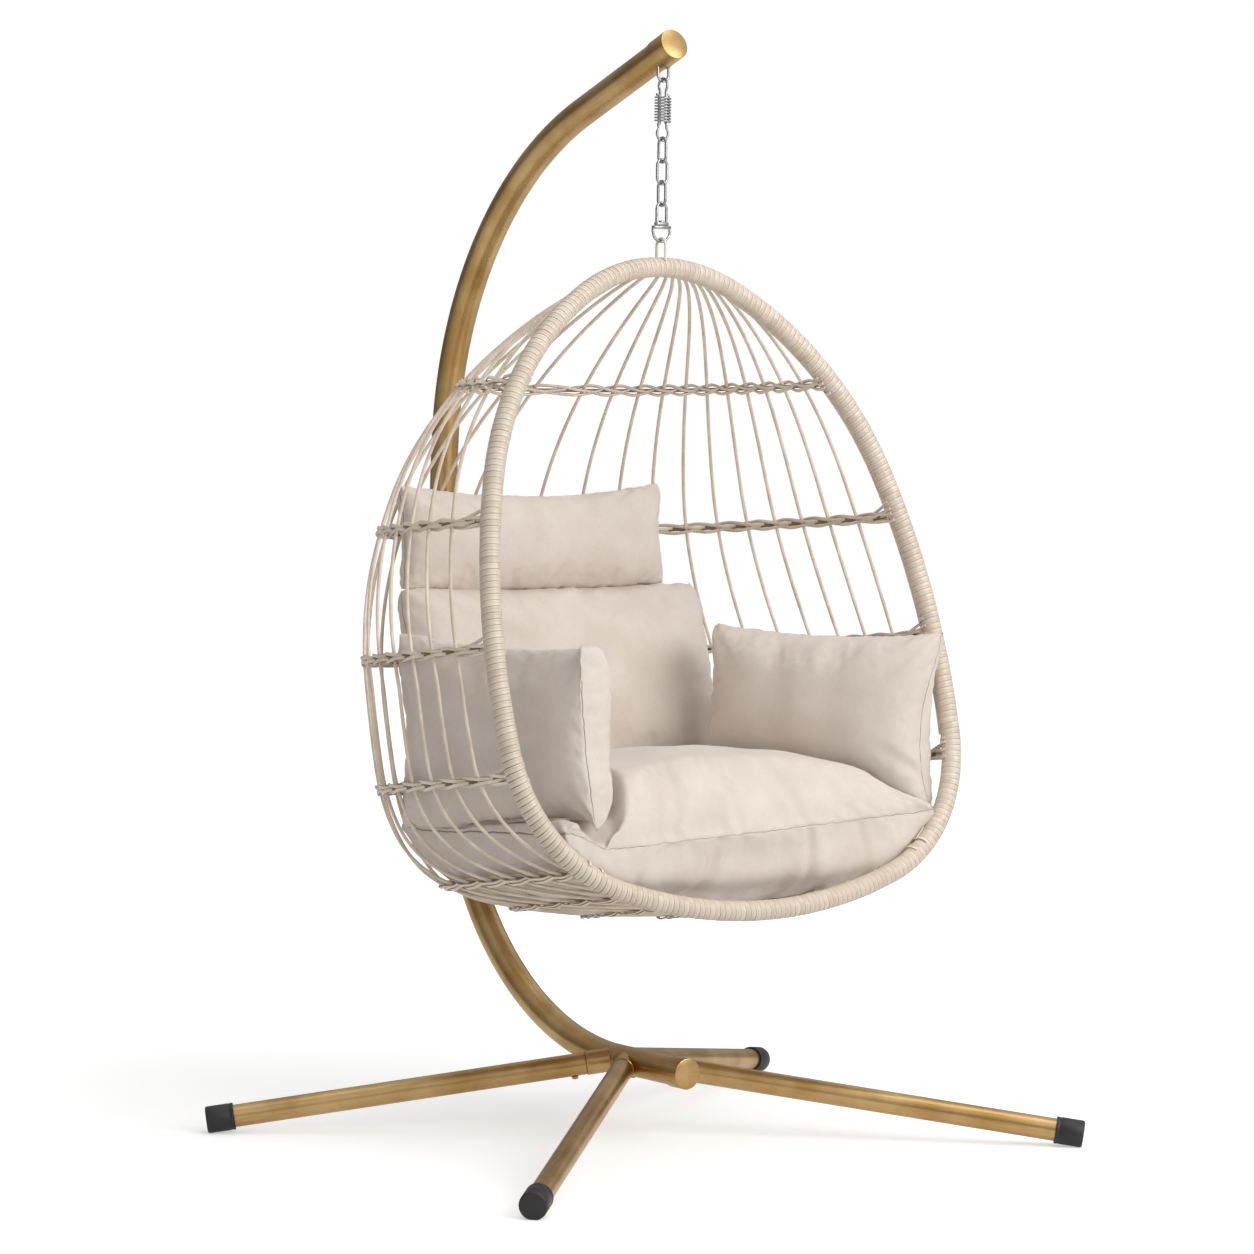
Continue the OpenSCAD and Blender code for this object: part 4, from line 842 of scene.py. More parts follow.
EYE_R = 0.0115
eye_leg = 0.051 - EYE_R - 0.0235 / math.cos(math.radians(21.5)) + 0.009
eye_line = walk([(eye_leg, 0), (EYE_R, 180), (eye_leg, 0)], (-EYE_R, eye_leg, -90), 0.0015)[0]
wire("hanging_eye_dressed", [in_xz(eye_line, EYE_Z + EYE_R)], WIRE_R, "stand", ["hanging_eye"])

COIL_LEN, LOOP_R, BAR_GAP, NECK = 0.048, 0.012, 0.017, 0.0035
SPRING_TRAVEL, HOOK_TIP = 0.012, 0.0022
loop_turn = math.degrees(math.acos((BAR_GAP / 2 + LOOP_R / 2) / (LOOP_R * 1.5)))
loop_drop = LOOP_R * 1.5 * math.sin(math.radians(loop_turn)) + NECK
upper_z = EYE_Z + 0.00505 - LOOP_R
coil_top = upper_z - loop_drop - 0.003
coil_low = coil_top - COIL_LEN
lower_z = coil_low - 0.0045 - loop_drop
hook_bend = 0.0045 * 0.75
bar_leg = COIL_LEN + 0.003 + 0.00225 - hook_bend + 0.0001
half_run = [(HOOK_TIP, 0), (hook_bend, -90), (bar_leg + NECK, 0), (LOOP_R / 2, -loop_turn)]
drawbar = walk(half_run + [(LOOP_R, 180 + 2 * loop_turn)] + half_run[::-1],
               (BAR_GAP / 2 + hook_bend + HOOK_TIP, -loop_drop - bar_leg - hook_bend, 180), 0.0015)[0]
wire("upper_drawbar_dressed", [in_yz(drawbar, upper_z)], BAR_R, "upper_bar", ["upper_drawbar"])
wire("lower_drawbar_dressed", [in_xz(drawbar * (1, -1), lower_z)], BAR_R, "lower_bar", ["lower_drawbar"])
coil = grow("spring_coil_dressed", coil_tree(), lines_mesh("coil_seat", [[(0, 0, 0), (0, 0, 0.001)]]), Radius=0.0135,
            Wire=0.0015, Turns=9.0, Height=COIL_LEN - 0.003, Centre=(0, HANG_Y, coil_low + 0.0015), Material=ZINC)
settle(coil, "upper_bar", "chain", "spring_coil")
# its lower end hangs in the upper drawbar's hooks, and the lower drawbar's hooks press its upper end down
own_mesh(coil)

LINK_HALF, LINK_R = 0.0215, 0.0105
link_line = walk([(2 * (LINK_HALF - LINK_R), 0), (LINK_R, 180), (2 * (LINK_HALF - LINK_R), 0), (LINK_R, 180)],
                 (LINK_R, LINK_R - LINK_HALF, 90), 0.0015)[0][:-1]
for name, joint, flat in (("link_1", "link_1_sway", in_yz), ("link_2", "link_2_swing", in_xz),
                          ("link_3", "link_3_sway", in_yz)):
    wire("chain_" + name + "_dressed", [flat(link_line, joint_at[joint][2] - LINK_HALF)], WIRE_R, name,
         ["chain_" + name], closed=True)

YOKE_Z = joint_at["basket_spin"][2]
HOOK_YOKE_Z = YOKE_Z - 0.0058
HOOK_R = 0.0185
hook_yoke_half = HOOK_R * 0.94
hook_z = HOOK_YOKE_Z - math.sqrt(HOOK_R ** 2 - hook_yoke_half ** 2)
swivel_line = walk([(0.0265, 0), (LINK_R, 180), (0.0265, 0)], (LINK_R, 0, 90), 0.0015)[0]
wire("swivel_eye_loop", [in_xz(swivel_line, YOKE_Z)], WIRE_R, "swivel", [])


def yoke(name, half, z, body, *replaced):
    """A short flat bar with round ends and softened edges."""
    block = bmesh.new()
    outline = []
    for k in range(32):
        a = 2 * math.pi * k / 32
        outline.append((math.copysign(half - 0.0055, math.cos(a)) + 0.0055 * math.cos(a), 0.0055 * math.sin(a)))
    layers = [(-0.00275, 0.0006), (-0.00215, 0.0), (0.00215, 0.0), (0.00275, 0.0006)]
    rings = [[block.verts.new((x * (1 - inset / half), HANG_Y + y * (1 - inset / 0.0055), z + h)) for x, y in outline]
             for h, inset in layers]
    for low, high in zip(rings, rings[1:]):
        for k in range(32):
            block.faces.new((low[k], low[(k + 1) % 32], high[(k + 1) % 32], high[k]))
    block.faces.new(rings[0][::-1])
    block.faces.new(rings[-1])
    bmesh.ops.recalc_face_normals(block, faces=block.faces)
    mesh = bpy.data.meshes.new(name)
    block.to_mesh(mesh)
    block.free()
    mesh.materials.append(ZINC)
    mesh.shade_smooth()
    mesh.set_sharp_from_angle(angle=math.radians(50))
    return settle(linked(name, mesh), body, "chain", *replaced)


yoke("swivel_yoke", LINK_R + WIRE_R + 0.0015, YOKE_Z, "swivel", "swivel_eye")
yoke("hook_yoke", hook_yoke_half + WIRE_R, HOOK_YOKE_Z, "hook")
pin = Solid().turn([(0.0005, -0.0028), (0.003, -0.0028), (0.003, 0.0092), (0.0048, 0.0092), (0.005, 0.0094),
                    (0.005, 0.0108), (0.0042, 0.0118), (0.0005, 0.0122)],
                   axes_at((0, HANG_Y, HOOK_YOKE_Z), (0, 0, 1), (1, 0, 0)), 32)
settle(pin.piece("swivel_pin_dressed", ZINC), "hook", "chain", "swivel_pin")


def ring_arc(a0, a1):
    return [(HOOK_R * math.cos(math.radians(a)), HOOK_R * math.sin(math.radians(a)))
            for a in np.linspace(a0, a1, max(4, round((a1 - a0) / 5)))]


hook_a = math.degrees(math.asin((HOOK_YOKE_Z - hook_z) / HOOK_R))
HOOK_TIP_A, GATE_TIP_A, KNUCKLE_A = -54.8, -47.1, 8.9      # angles round the hook, from its +X side
wire("swivel_hook_dressed", [in_xz(ring_arc(180 - hook_a, 360 + HOOK_TIP_A), hook_z),
                             in_xz(ring_arc(KNUCKLE_A, hook_a), hook_z)], WIRE_R, "hook", ["swivel_hook"])
wire("hook_gate_dressed", [in_xz(ring_arc(GATE_TIP_A, 0), hook_z)], 0.00205, "gate", ["hook_gate"])
knuckle = [(0.0004, -0.0025), (0.0019, -0.0025), (0.0022, -0.0022), (0.0022, 0.0022), (0.0019, 0.0025),
           (0.0004, 0.0025)]
settle(Solid().turn(knuckle, axes_at((HOOK_R, HANG_Y, hook_z), (0, 1, 0), (1, 0, 0)), 24).piece("gate_knuckle", ZINC),
       "gate", "chain")

# ---------- basket: rim, side rods, ribs and hoops ----------
EYELET_R = 0.013
eyelet_line = walk([(0.0245, 0), (EYELET_R, 180), (0.0245, 0)], (EYELET_R, -0.0245, 90), 0.0015)[0]
wire("rim_eyelet_dressed", [in_yz(eyelet_line, EYELET_Z - EYELET_R)], WIRE_R, "basket", ["rim_eyelet"], ROD, "rattan")
rim_length = float(np.linalg.norm(np.diff(np.vstack([rim_line, rim_line[:1]]), axis=0), axis=1).sum())
STRAND_THICK = 0.0018
wrap = grow("rim_wrap_dressed", spiral_wrap_tree(), lines_mesh("rim_line", [rim_points], True),
            Radius=WRAP_R - STRAND_THICK / 2, Turns=round(rim_length / WRAP_PITCH), Line_Length=rim_length,
            Width=WRAP_PITCH - 0.0001, Thickness=STRAND_THICK, Sides=16, Points_Per_Turn=18, Material=WRAP)
settle(wrap, "basket", "rattan", "rim_wrap")
# the rim tube shows only in the wrapping's seams, so it takes the painted-shade colour
nodes["rim_tube"].data.materials.clear()
nodes["rim_tube"].data.materials.append(SHADE_CORE)

side_in = 0.008
side_up = math.sqrt((WRAP_R + 0.0026) ** 2 - side_in ** 2)
side_lines = []
for side in (1, -1):
    a = math.radians(RIM_TURN[1])
    start = rim_end(1) + side_in * np.array([-math.sin(a), math.cos(a)])
    line = walk([(RIM_R[i] - side_in, RIM_TURN[i + 1] - RIM_TURN[i]) for i in (1, 2)], (*start, RIM_TURN[1]), 0.010)[0]
    side_lines.append([in_rim_plane(side * p[0], p[1], side_up) for p in line])
wire("rim_side_rods_dressed", side_lines, WIRE_R, "basket", ["rim_side_rods"], ROD, "rattan", sides=10)

RIB_DRESS = 0.0004                               # the strand round a rib
for label, numbers in (("left", range(1, 12)), ("right", range(12, 23))):
    lines = []
    for s in numbers:
        ts = np.arange(3.0, 179.0, 1.6)
        line = [rib_point(s, t) for t in ts]
        inside = {i for i, p in enumerate(line) if rim_gap(p) > WRAP_R - 0.001}
        low = high = min(sorted(inside), key=lambda i: abs(ts[i] - 60))
        while low - 1 in inside:
            low -= 1
        while high + 1 in inside:
            high += 1
        lines.append(line[low:high + 1])
    wire("ribs_" + label + "_dressed", lines, RIB_R + RIB_DRESS, "basket", ["ribs_" + label], ROD, "rattan", sides=10)

strand = flat_strand_tree()


ROW, TWIST, CROSS = 0.0047, 0.0027, 0.0014      # half distance of the rows, and how their strands part between ribs
FAN = (-0.0115, -0.0040, 0.0040, 0.0115)


def strands(name, pairs, width, thickness, material):
    source = lines_mesh(name + "_line", [p[0] for p in pairs], out=[p[1] for p in pairs])
    return grow(name, strand, source, Width=width, Thickness=thickness, Material=material)


def off_the_rim(points, outs):
    keep = [i for i, p in enumerate(points) if rim_gap(p) > WRAP_R - 0.002]
    return [points[i] for i in keep], [outs[i] for i in keep]


def weave_line(t, row, way, reach, steps=10):
    """A strand of the upper or lower row, in front of one rib and behind the next."""
    points, outs = [], []
    for k in range(1, steps * (RIB_COUNT + 1)):
        s = k / steps
        along, out, up = weave_frame(s, t)
        over = max(-1.0, min(1.0, 1.3 * math.cos(math.pi * s)))
        between = math.sin(math.pi * s)
        points.append(rib_point(s, t) + (way * reach * over + row * way * CROSS * between) * out
                      + row * (ROW + way * TWIST * between) * up)
        outs.append(out)
    return off_the_rim(points, outs)


def shade_strip_line(t, steps=4):
    """A dark strip between the two rows: painted shade seen through the weave's gaps."""
    places = [k / steps for k in range(1, steps * (RIB_COUNT + 1))]
    return off_the_rim([rib_point(s, t) for s in places], [weave_frame(s, t)[1] for s in places])


def fan_lines(t, end):
    """Strand ends of a hoop that part on the rim and run round its outer side."""
    s_in = 0.5 if end < 0 else RIB_COUNT + 0.5
    _, out, up = weave_frame(s_in, t)
    pairs = []
    for k, spread in enumerate(FAN):
        start = rib_point(s_in, t) + out * (0.003 if k % 2 else -0.003) + up * spread * 0.62
        foot, down = rim_near(start)
        down = down if down @ up > 0 else -down
        radial = unit((start - foot) - ((start - foot) @ down) * down)
        outer = unit(out - (out @ down) * down - (out @ radial) * radial)
        line, faces = [start], [out]
        for angle in np.radians(np.arange(14, 113, 9.0)):
            normal = radial * math.cos(angle) + outer * math.sin(angle)
            line.append(foot + normal * (WRAP_R + 0.0006 + 0.0005 * (k % 2))
                        + down * spread * (0.65 + 0.35 * min(1.0, angle)))
            faces.append(normal)
        pairs.append((line, faces))
    return pairs


for i, t in enumerate(HOOP_T):
    reach = 0.0052 + 0.0011 * max(0, min(1, (t - 100) / 60))
    pairs = [weave_line(t, row, way, reach) for row in (-1, 1) for way in (-1, 1)] + fan_lines(t, -1) + fan_lines(t, 1)
    settle(strands(f"hoop_{i + 1}_dressed", pairs, 0.0060, 0.0030, WEAVE), "basket", "rattan", f"hoop_{i + 1}")
# each hoop gets a dark strip of painted shade between its two rows
settle(strands("hoop_cores_dressed", [shade_strip_line(t) for t in HOOP_T], 0.0085, 0.0014, SHADE_CORE), "basket", "rattan")

# ---------- cushions ----------
SEAT_W, SEAT_D, SEAT_UP, SEAT_DOWN = 0.800, 0.545, 0.113, 0.150
SEAT_AT = (0.0038, HANG_Y - RIM_H * math.sin(RIM_LEAN) + 0.038 + SEAT_D / 2,
           CROWN_Z - RIM_H * math.cos(RIM_LEAN) + 0.1303)
SEAT_FALL = math.tan(math.radians(-4))
ARM_W, ARM_T, ARM_OUT, ARM_LEAN = 0.450, 0.140, 0.3, 0.04


def basket_half(h, y):
    """Half width of the basket's inside at height share h and place y, or -1 outside it."""
    v = h * RIM_H
    s = (max(0.0, y - HANG_Y + v * math.sin(RIM_LEAN)) / max(0.001, BASKET_DEPTH * deep_at(h))) ** 1.4
    if s >= 1:
        return -1.0
    return (rim_x(v) + LOW_BULGE * h ** 4 * deep_at(h) * (1 - (1 - s) ** 4)) * (1 - s * s) ** (1 / 2.8)


def bowl_z(x, y):
    """Height of the basket's bottom under a place."""
    near, away = 0.8, 1.0
    if basket_half(near, y) < abs(x):
        return 9.0
    for _ in range(14):
        h = (near + away) / 2
        near, away = (h, away) if basket_half(h, y) >= abs(x) else (near, h)
    back = max(0.0, y - HANG_Y + near * RIM_H * math.sin(RIM_LEAN))
    return CROWN_Z - near * RIM_H * math.cos(RIM_LEAN) - (0.02 + 0.14 * near) * back


def seat_seam(y):
    return SEAT_AT[2] + (y - SEAT_AT[1]) * SEAT_FALL


def seat_half(y):
    h = (CROWN_Z - seat_seam(y) - 0.142 * (y - HANG_Y)) / (math.cos(RIM_LEAN) + 0.142 * math.sin(RIM_LEAN)) / RIM_H
    return min(SEAT_W / 2, basket_half(h, y) - WRAP_R - 0.003)


def seat_crown(u, v, f=(0.5, 0.22)):
    return 0.0 if abs(u) >= 1 or abs(v) >= 1 else (1 - u * u) ** f[0] * (1 - v * v) ** f[1]


def seat_top(x, y):
    c = seat_crown((x - SEAT_AT[0]) / seat_half(y), 2 * (y - SEAT_AT[1]) / SEAT_D)
    return seat_seam(y) + SEAT_UP * c if c > 0 else 0.0


ARMS = [  # place, turn, height, share of the seat's crown that the foot follows
    (np.array([SEAT_W / 2 - 0.058, SEAT_AT[1] - 0.042]), 114, 0.310, 0.80),
    (np.array([0.026 - SEAT_W / 2, SEAT_AT[1] - 0.058]), 103, 0.335, 0.35)]


def arm_axes(arm):
    at, turn = arm[0], math.radians(arm[1])
    run = np.array([math.cos(turn), math.sin(turn)])
    return at, run, np.array([run[1], -run[0]]) * (1 if at[0] > 0 else -1)


def arm_foot(arm, a):
    """Height of an arm pillow's foot at share a of its length; it sinks into the seat's crown."""
    at, run, _ = arm_axes(arm)
    p = at + run * ARM_W / 2 * a
    low = seat_seam(max(p[1], SEAT_AT[1] - SEAT_D / 2))
    return low + arm[3] * max(0.0, seat_top(*p) - low) + 0.003


def pressed(x, y, z):
    """The seat under the arm pillows, with a soft shoulder beside them."""
    for arm in ARMS:
        at, run, out = arm_axes(arm)
        a, b = (np.array([x, y]) - at) @ run / (ARM_W / 2), (np.array([x, y]) - at) @ out
        full = max(0.0, 1 - a * a) ** 0.27
        beside = max(0.0, -ARM_T * (1 - ARM_OUT) * full - 0.004 - b) + max(0.0, b - ARM_T * ARM_OUT * full)
        past = max(0.0, abs(a) - 1) * ARM_W / 2
        away = math.hypot(beside, past)
        z = min(z, arm_foot(arm, max(-1.0, min(1.0, a))) - 0.006 + 2.4 * away)
    return z


def seat_skin(u, v, side):
    y = SEAT_AT[1] + SEAT_D / 2 * v
    x = SEAT_AT[0] + u * seat_half(y) * (1 - 0.02 * (1 - v * v))
    z = seat_seam(y)
    # the front seam dips beside its left corner and climbs to the right one
    rise = min(1.0, (u + 1) / 0.28)
    dip = 0.032 * rise * rise * (3 - 2 * rise) * max(0.0, (1 - u) / 1.72) ** 0.75 * math.exp(-((v + 1) / 0.16) ** 2)
    if side > 0:
        return x, y, pressed(x, y, z + SEAT_UP * seat_crown(u, v)) - dip
    c = seat_crown(u, v, (0.2, 0.2))
    bed = bowl_z(abs(x) + 0.010, y + (0.010 if y > SEAT_AT[1] else 0.0)) + 0.011
    return x, y, min(z - dip - 0.15 * SEAT_DOWN * c, max(z - SEAT_DOWN * c, bed))


def pad_skin(w, h, t, sag, matrix, corner=0.0, drop=0.0, full=0.27):
    """An upright pad that stands on its foot edge; the seat presses its foot up where they meet."""
    def skin(u, v, side):
        crown = max(0.0, (1 - u * u) * (1 - v * v)) ** full
        tuck = 1 - corner * (u * v) ** 6
        low = drop * (1 - u ** 4) * max(0.0, -v) ** 3
        rise = h / 2 + h / 2 * v * tuck * (1 - (sag if v > 0 else 0.03) * (1 - u * u)) - low
        p = matrix @ Vector((w / 2 * u * tuck * (1 - 0.03 * (1 - v * v)), rise, side * t / 2 * crown))
        return p.x, p.y, max(p.z, seat_top(p.x, p.y) + 0.004) if v < 0 else p.z
    return skin


def arm_skin(arm):
    at, run, out = arm_axes(arm)
    left = at[0] > 0
    base = min(arm_foot(arm, k) for k in np.arange(-1, 1.01, 0.25))

    def skin(u, v, side):
        way = side if left else -side
        p = at + run * ARM_W / 2 * u * (1 - 0.04 * (1 - v * v))
        foot = arm_foot(arm, u)
        z = foot + (v + 1) / 2 * (base + arm[2] * (1 - 0.04 * (1 - u * u)) - foot)
        crown = max(0.0, (1 - u * u) * (1 - v * v)) ** 0.24
        belly = ARM_T * crown * (ARM_OUT if way > 0 else ARM_OUT - 1)
        # the sewn edge of the front end wanders, and the panels swell past it
        front = max(0.0, min(1.0, (-u - 0.75) / 0.25)) ** 2 * (1 - crown)
        bow = math.cos(math.pi / 2 * min(1.0, abs(v + 0.3) / 1.1))
        edge = -0.020 * bow if left else 0.016 + 0.020 * (v + 1) / 2
        ahead = 0.018 * bow if left else 0.012 * (v + 1) / 2
        q = p + out * (belly + (z - base) * ARM_LEAN + front * edge) + run * front * ahead
        return q[0], q[1], z
    return skin


def even(half, rise, power, count):
    """Places from -1 to 1 that are evenly spaced along the crowned section of a cushion."""
    u = -np.cos(np.linspace(0, math.pi, 4001))
    section = np.stack([half * u, rise * (1 - u * u).clip(0) ** power], 1)
    length = np.concatenate([[0], np.cumsum(np.linalg.norm(np.diff(section, axis=0), axis=1))])
    return np.interp(np.linspace(0, length[-1], count + 1), length, u)


class Panels:
    """Two panels of cloth sewn round their edge, in the shape that skin(u, v, side) gives."""

    def __init__(self, size, skin, power, grid):
        w, h, t = size
        self.wide, self.high, self.reach = w, h, (w + t, h + t)
        nx, ny = round((w + t) / grid), round((h + t) / grid)
        u, v = even(w / 2, t / 2, power[0], nx), even(h / 2, t / 2, power[1], ny)
        points, places, index = [], [], {}
        for side in (1, -1):
            for i in range(nx + 1):
                for j in range(ny + 1):
                    if side < 0 and (i in (0, nx) or j in (0, ny)):
                        index[side, i, j] = index[1, i, j]
                        continue
                    index[side, i, j] = len(points)
                    points.append(skin(u[i], v[j], side))
                    places.append((side, i, j))
        self.points = np.array(points)
        self.faces, self.uvs = [], []
        for side in (1, -1):
            for i in range(nx):
                for j in range(ny):
                    corners = [(i, j), (i + 1, j), (i + 1, j + 1), (i, j + 1)][::side]
                    self.faces.append([index[side, a, b] for a, b in corners])
                    self.uvs += [(a * grid, b * grid) for a, b in corners]
        self.side, i, j = np.array(places).T
        self.a, self.b = i / nx, j / ny
        self.steps = (nx, ny)
        # distance from the sewn edge, along the cloth
        self.inner = grid * np.minimum.reduce([self.a * nx, (1 - self.a) * nx, self.b * ny, (1 - self.b) * ny])


def read(mesh, what):
    values = np.zeros(len(mesh.vertices) * 3, np.float32)
    mesh.vertices.foreach_get(what, values)
    return values.reshape(-1, 3)


CLOTH_SETTINGS = {"quality": 5, "mass": 0.25, "tension_stiffness": 12, "compression_stiffness": 6,
                  "shear_stiffness": 4, "bending_stiffness": 0.35, "use_pressure": True,
                  "uniform_pressure_force": 3.0, "shrink_min": -0.03}
CLOTH_FRAMES, CLOTH_ROUGH = 20, 0.0008
WAVE_DEPTH, PUCKER_DEPTH, PUCKER_STEP, PUCKER_FADE, EDGE_FADE = 0.0007, 0.0009, 0.047, 0.026, 0.024
SEAM_DEPTH, SEAM_WIDTH = 0.0022, 0.004


def blow_up(piece, panels, cap):
    """Runs the cloth for a short while and gives back where its points go, at most cap away."""
    cloth = piece.modifiers.new("cloth", "CLOTH")
    for name, value in CLOTH_SETTINGS.items():
        setattr(cloth.settings, name, value)
    cloth.settings.effector_weights.gravity = 0
    sewn = piece.vertex_groups.new(name="sewn")
    sewn.add([int(k) for k in np.flatnonzero(panels.inner == 0)], 1.0, "REPLACE")
    cloth.settings.vertex_group_mass = "sewn"
    cloth.collision_settings.use_self_collision = False
    cloth.point_cache.frame_start, cloth.point_cache.frame_end = 1, CLOTH_FRAMES
    stage = bpy.context.scene
    for step in range(1, CLOTH_FRAMES + 1):
        stage.frame_set(step)
    blown = piece.evaluated_get(bpy.context.evaluated_depsgraph_get())
    co = read(blown.data, "co")
    piece.modifiers.clear()
    stage.frame_set(1)
    moved = co.astype(float) - panels.points
    far = np.linalg.norm(moved, axis=1)[:, None]
    return panels.points + moved * (cap * np.tanh(far / cap) / np.maximum(far, 1e-9))


def wrinkles(panels, dice, seed, folds):
    """How far each point is lifted: soft waves, puckers along the seam, and folds that fade away from it."""
    a, b, inner = panels.a, panels.b, panels.inner
    along_w, along_h = panels.reach
    nx, ny = panels.steps
    lift = np.zeros(len(a))
    for _ in range(14):
        angle, wave = dice.uniform(0, 2 * math.pi), dice.uniform(0.09, 0.30)
        turn = 2 * math.pi / wave * (a * panels.wide * math.cos(angle) + b * panels.high * math.sin(angle)) \
            + dice.uniform(0, 6) + panels.side
        lift += WAVE_DEPTH * np.sin(turn)
    run_along = np.where(np.minimum(a, 1 - a) * nx < np.minimum(b, 1 - b) * ny, b * along_h, a * along_w)
    pucker = np.sin(2 * math.pi * run_along / PUCKER_STEP + 2.6 * np.sin(run_along * 17 + seed)) \
        * np.exp(-inner / PUCKER_FADE)
    lift += PUCKER_DEPTH * pucker * (0.6 + 0.4 * np.sin(run_along * 29 + 2 * seed)) * (inner > 0)
    for face, a0, b0, a1, b1, width, depth in folds:
        run_a, run_b = (a1 - a0) * along_w, (b1 - b0) * along_h
        at_a, at_b = (a - a0) * along_w, (b - b0) * along_h
        share = ((at_a * run_a + at_b * run_b) / (run_a ** 2 + run_b ** 2)).clip(0, 1)
        away = np.hypot(at_a - share * run_a, at_b - share * run_b)
        broad = width * (0.75 + 0.75 * share)
        shape = np.exp(-(away / broad) ** 2) - 0.45 * np.exp(-((away - 1.9 * broad) / broad) ** 2)
        lift -= depth * shape * (1 - share) ** 0.8 * (panels.side == face) * (inner > 0)
    return lift * (inner / EDGE_FADE).clip(0, 1)


def sink_seam(mesh):
    """The sewn edge sinks a little between the two panels."""
    near = np.zeros(len(mesh.vertices), np.float32)
    mesh.attributes["seam"].data.foreach_get("value", near)
    dip = SEAM_DEPTH * np.exp(-(near / SEAM_WIDTH) ** 2)
    co = read(mesh, "co") - read(mesh, "normal") * dip[:, None]
    mesh.vertices.foreach_set("co", co.ravel())


def cushion(node, size, skin, power=(0.27, 0.27), cap=0.010, grid=0.009, seed=1, press=None, folds=()):
    """Two panels sewn round the edge, blown up as cloth, wrinkled, pressed by their neighbours and smoothed."""
    name = node + "_dressed"
    panels = Panels(size, skin, power, grid)
    dice = np.random.default_rng(seed)
    rough = panels.points + dice.normal(0, CLOTH_ROUGH, panels.points.shape)
    mesh = bpy.data.meshes.new(name)
    mesh.from_pydata([tuple(p) for p in rough], [], panels.faces)
    mesh.uv_layers.new(name="UVMap").data.foreach_set("uv", np.array(panels.uvs, np.float32).ravel())
    piece = linked(name, mesh)
    co = blow_up(piece, panels, cap)
    mesh.vertices.foreach_set("co", co.astype(np.float32).ravel())
    mesh.update()
    co = co + read(mesh, "normal") * wrinkles(panels, dice, seed, folds)[:, None]
    if press is not None:
        co = press(co, panels.side, panels.inner)
    mesh.vertices.foreach_set("co", co.astype(np.float32).ravel())
    mesh.attributes.new("seam", "FLOAT", "POINT").data.foreach_set("value", panels.inner.astype(np.float32))
    smooth = piece.modifiers.new("smooth", "SUBSURF")
    smooth.levels = smooth.render_levels = 1
    ready = piece.evaluated_get(bpy.context.evaluated_depsgraph_get())
    fine = bpy.data.meshes.new_from_object(ready)
    piece.modifiers.clear()
    piece.data = fine
    fine.name = name
    sink_seam(fine)
    fine.materials.clear()
    fine.materials.append(CLOTH)
    fine.shade_smooth()
    return settle(piece, "basket", "fabric", node)


def off_the_seat(co, side_of, inner):
    """Lifts what would sink into the seat."""
    for p in co:
        p[2] = max(p[2], min(seat_top(p[0], p[1]), pressed(p[0], p[1], 9.0)) + 0.003)
    return co


def on_its_foot(arm):
    at, run, _ = arm_axes(arm)

    def press(co, side_of, inner):
        for p in co:
            p[2] = max(p[2], arm_foot(arm, max(-1.0, min(1.0, (p[:2] - at) @ run / (ARM_W / 2)))) - 0.002)
        return co
    return press


# the seat's gap to the rim, and the distances at which its pull starts and is full
REST_GAP, REST_REACH, REST_FULL = 0.0035, 0.105, 0.035


def on_the_rim(co, side_of, inner):
    """The seat's top gives way under the arm pillows, and its lower front lies against the rim."""
    for p, side, away in zip(co, side_of, inner):
        if side > 0:
            if p[2] > seat_seam(p[1]) + 0.002:
                p[2] = min(p[2], pressed(p[0], p[1], 9.0))
            continue
        foot, run = rim_near(p)
        line = foot + run * ((p - foot) @ run) - p
        far = float(np.linalg.norm(line))
        pull = max(0.0, min(1.0, (REST_REACH - far) / (REST_REACH - REST_FULL))) ** 1.4 * min(1.0, away / 0.045)
        p += line / far * pull * max(0.0, far - WRAP_R - REST_GAP)
    return co


def leaning(x, y, z, tilt):
    return Matrix.Translation((x, y, z)) @ Matrix.Rotation(math.radians(90 - tilt), 4, "X")


BACK_FOOT_Y = SEAT_AT[1] + SEAT_D / 2 - 0.110 * 0.24
BACK_Z = 0.625245
HEAD_AT = (-0.019, 0.245465, 0.965115)
# folds: side, start at the seam and end as shares of the cloth's width and height, half width, depth
cushion("seat_cushion", (SEAT_W, SEAT_D, 0.240), seat_skin, power=(0.3, 0.2), seed=3, grid=0.0095,
        cap=0.012, press=on_the_rim, folds=[
            (-1, 0.43, 0.00, 0.36, 0.26, 0.012, 0.0080), (-1, 0.63, 0.00, 0.66, 0.24, 0.011, 0.0070),
            (-1, 0.75, 0.00, 0.80, 0.20, 0.010, 0.0050), (-1, 0.20, 0.00, 0.25, 0.22, 0.013, 0.0045),
            (1, 0.30, 0.00, 0.38, 0.30, 0.013, 0.0055), (1, 0.47, 0.00, 0.44, 0.24, 0.011, 0.0040),
            (1, 0.62, 0.00, 0.55, 0.32, 0.014, 0.0050), (1, 0.80, 0.00, 0.70, 0.22, 0.012, 0.0035),
            (1, 0.05, 0.02, 0.22, 0.20, 0.011, 0.0060), (1, 0.97, 0.02, 0.84, 0.24, 0.012, 0.0045)])
cushion("back_cushion", (0.675, 0.360, 0.110),
        pad_skin(0.675, 0.360, 0.110, 0.05, leaning(0.010, BACK_FOOT_Y, BACK_Z, 17), corner=0.045, full=0.24), seed=5,
        press=off_the_seat, folds=[
            (1, 0.62, 1.00, 0.48, 0.78, 0.012, 0.0045), (1, 0.90, 1.00, 0.76, 0.74, 0.012, 0.0045),
            (1, 0.03, 0.98, 0.22, 0.72, 0.013, 0.0055), (1, 0.00, 0.66, 0.20, 0.56, 0.012, 0.0035),
            (1, 1.00, 0.34, 0.80, 0.48, 0.013, 0.0035)])
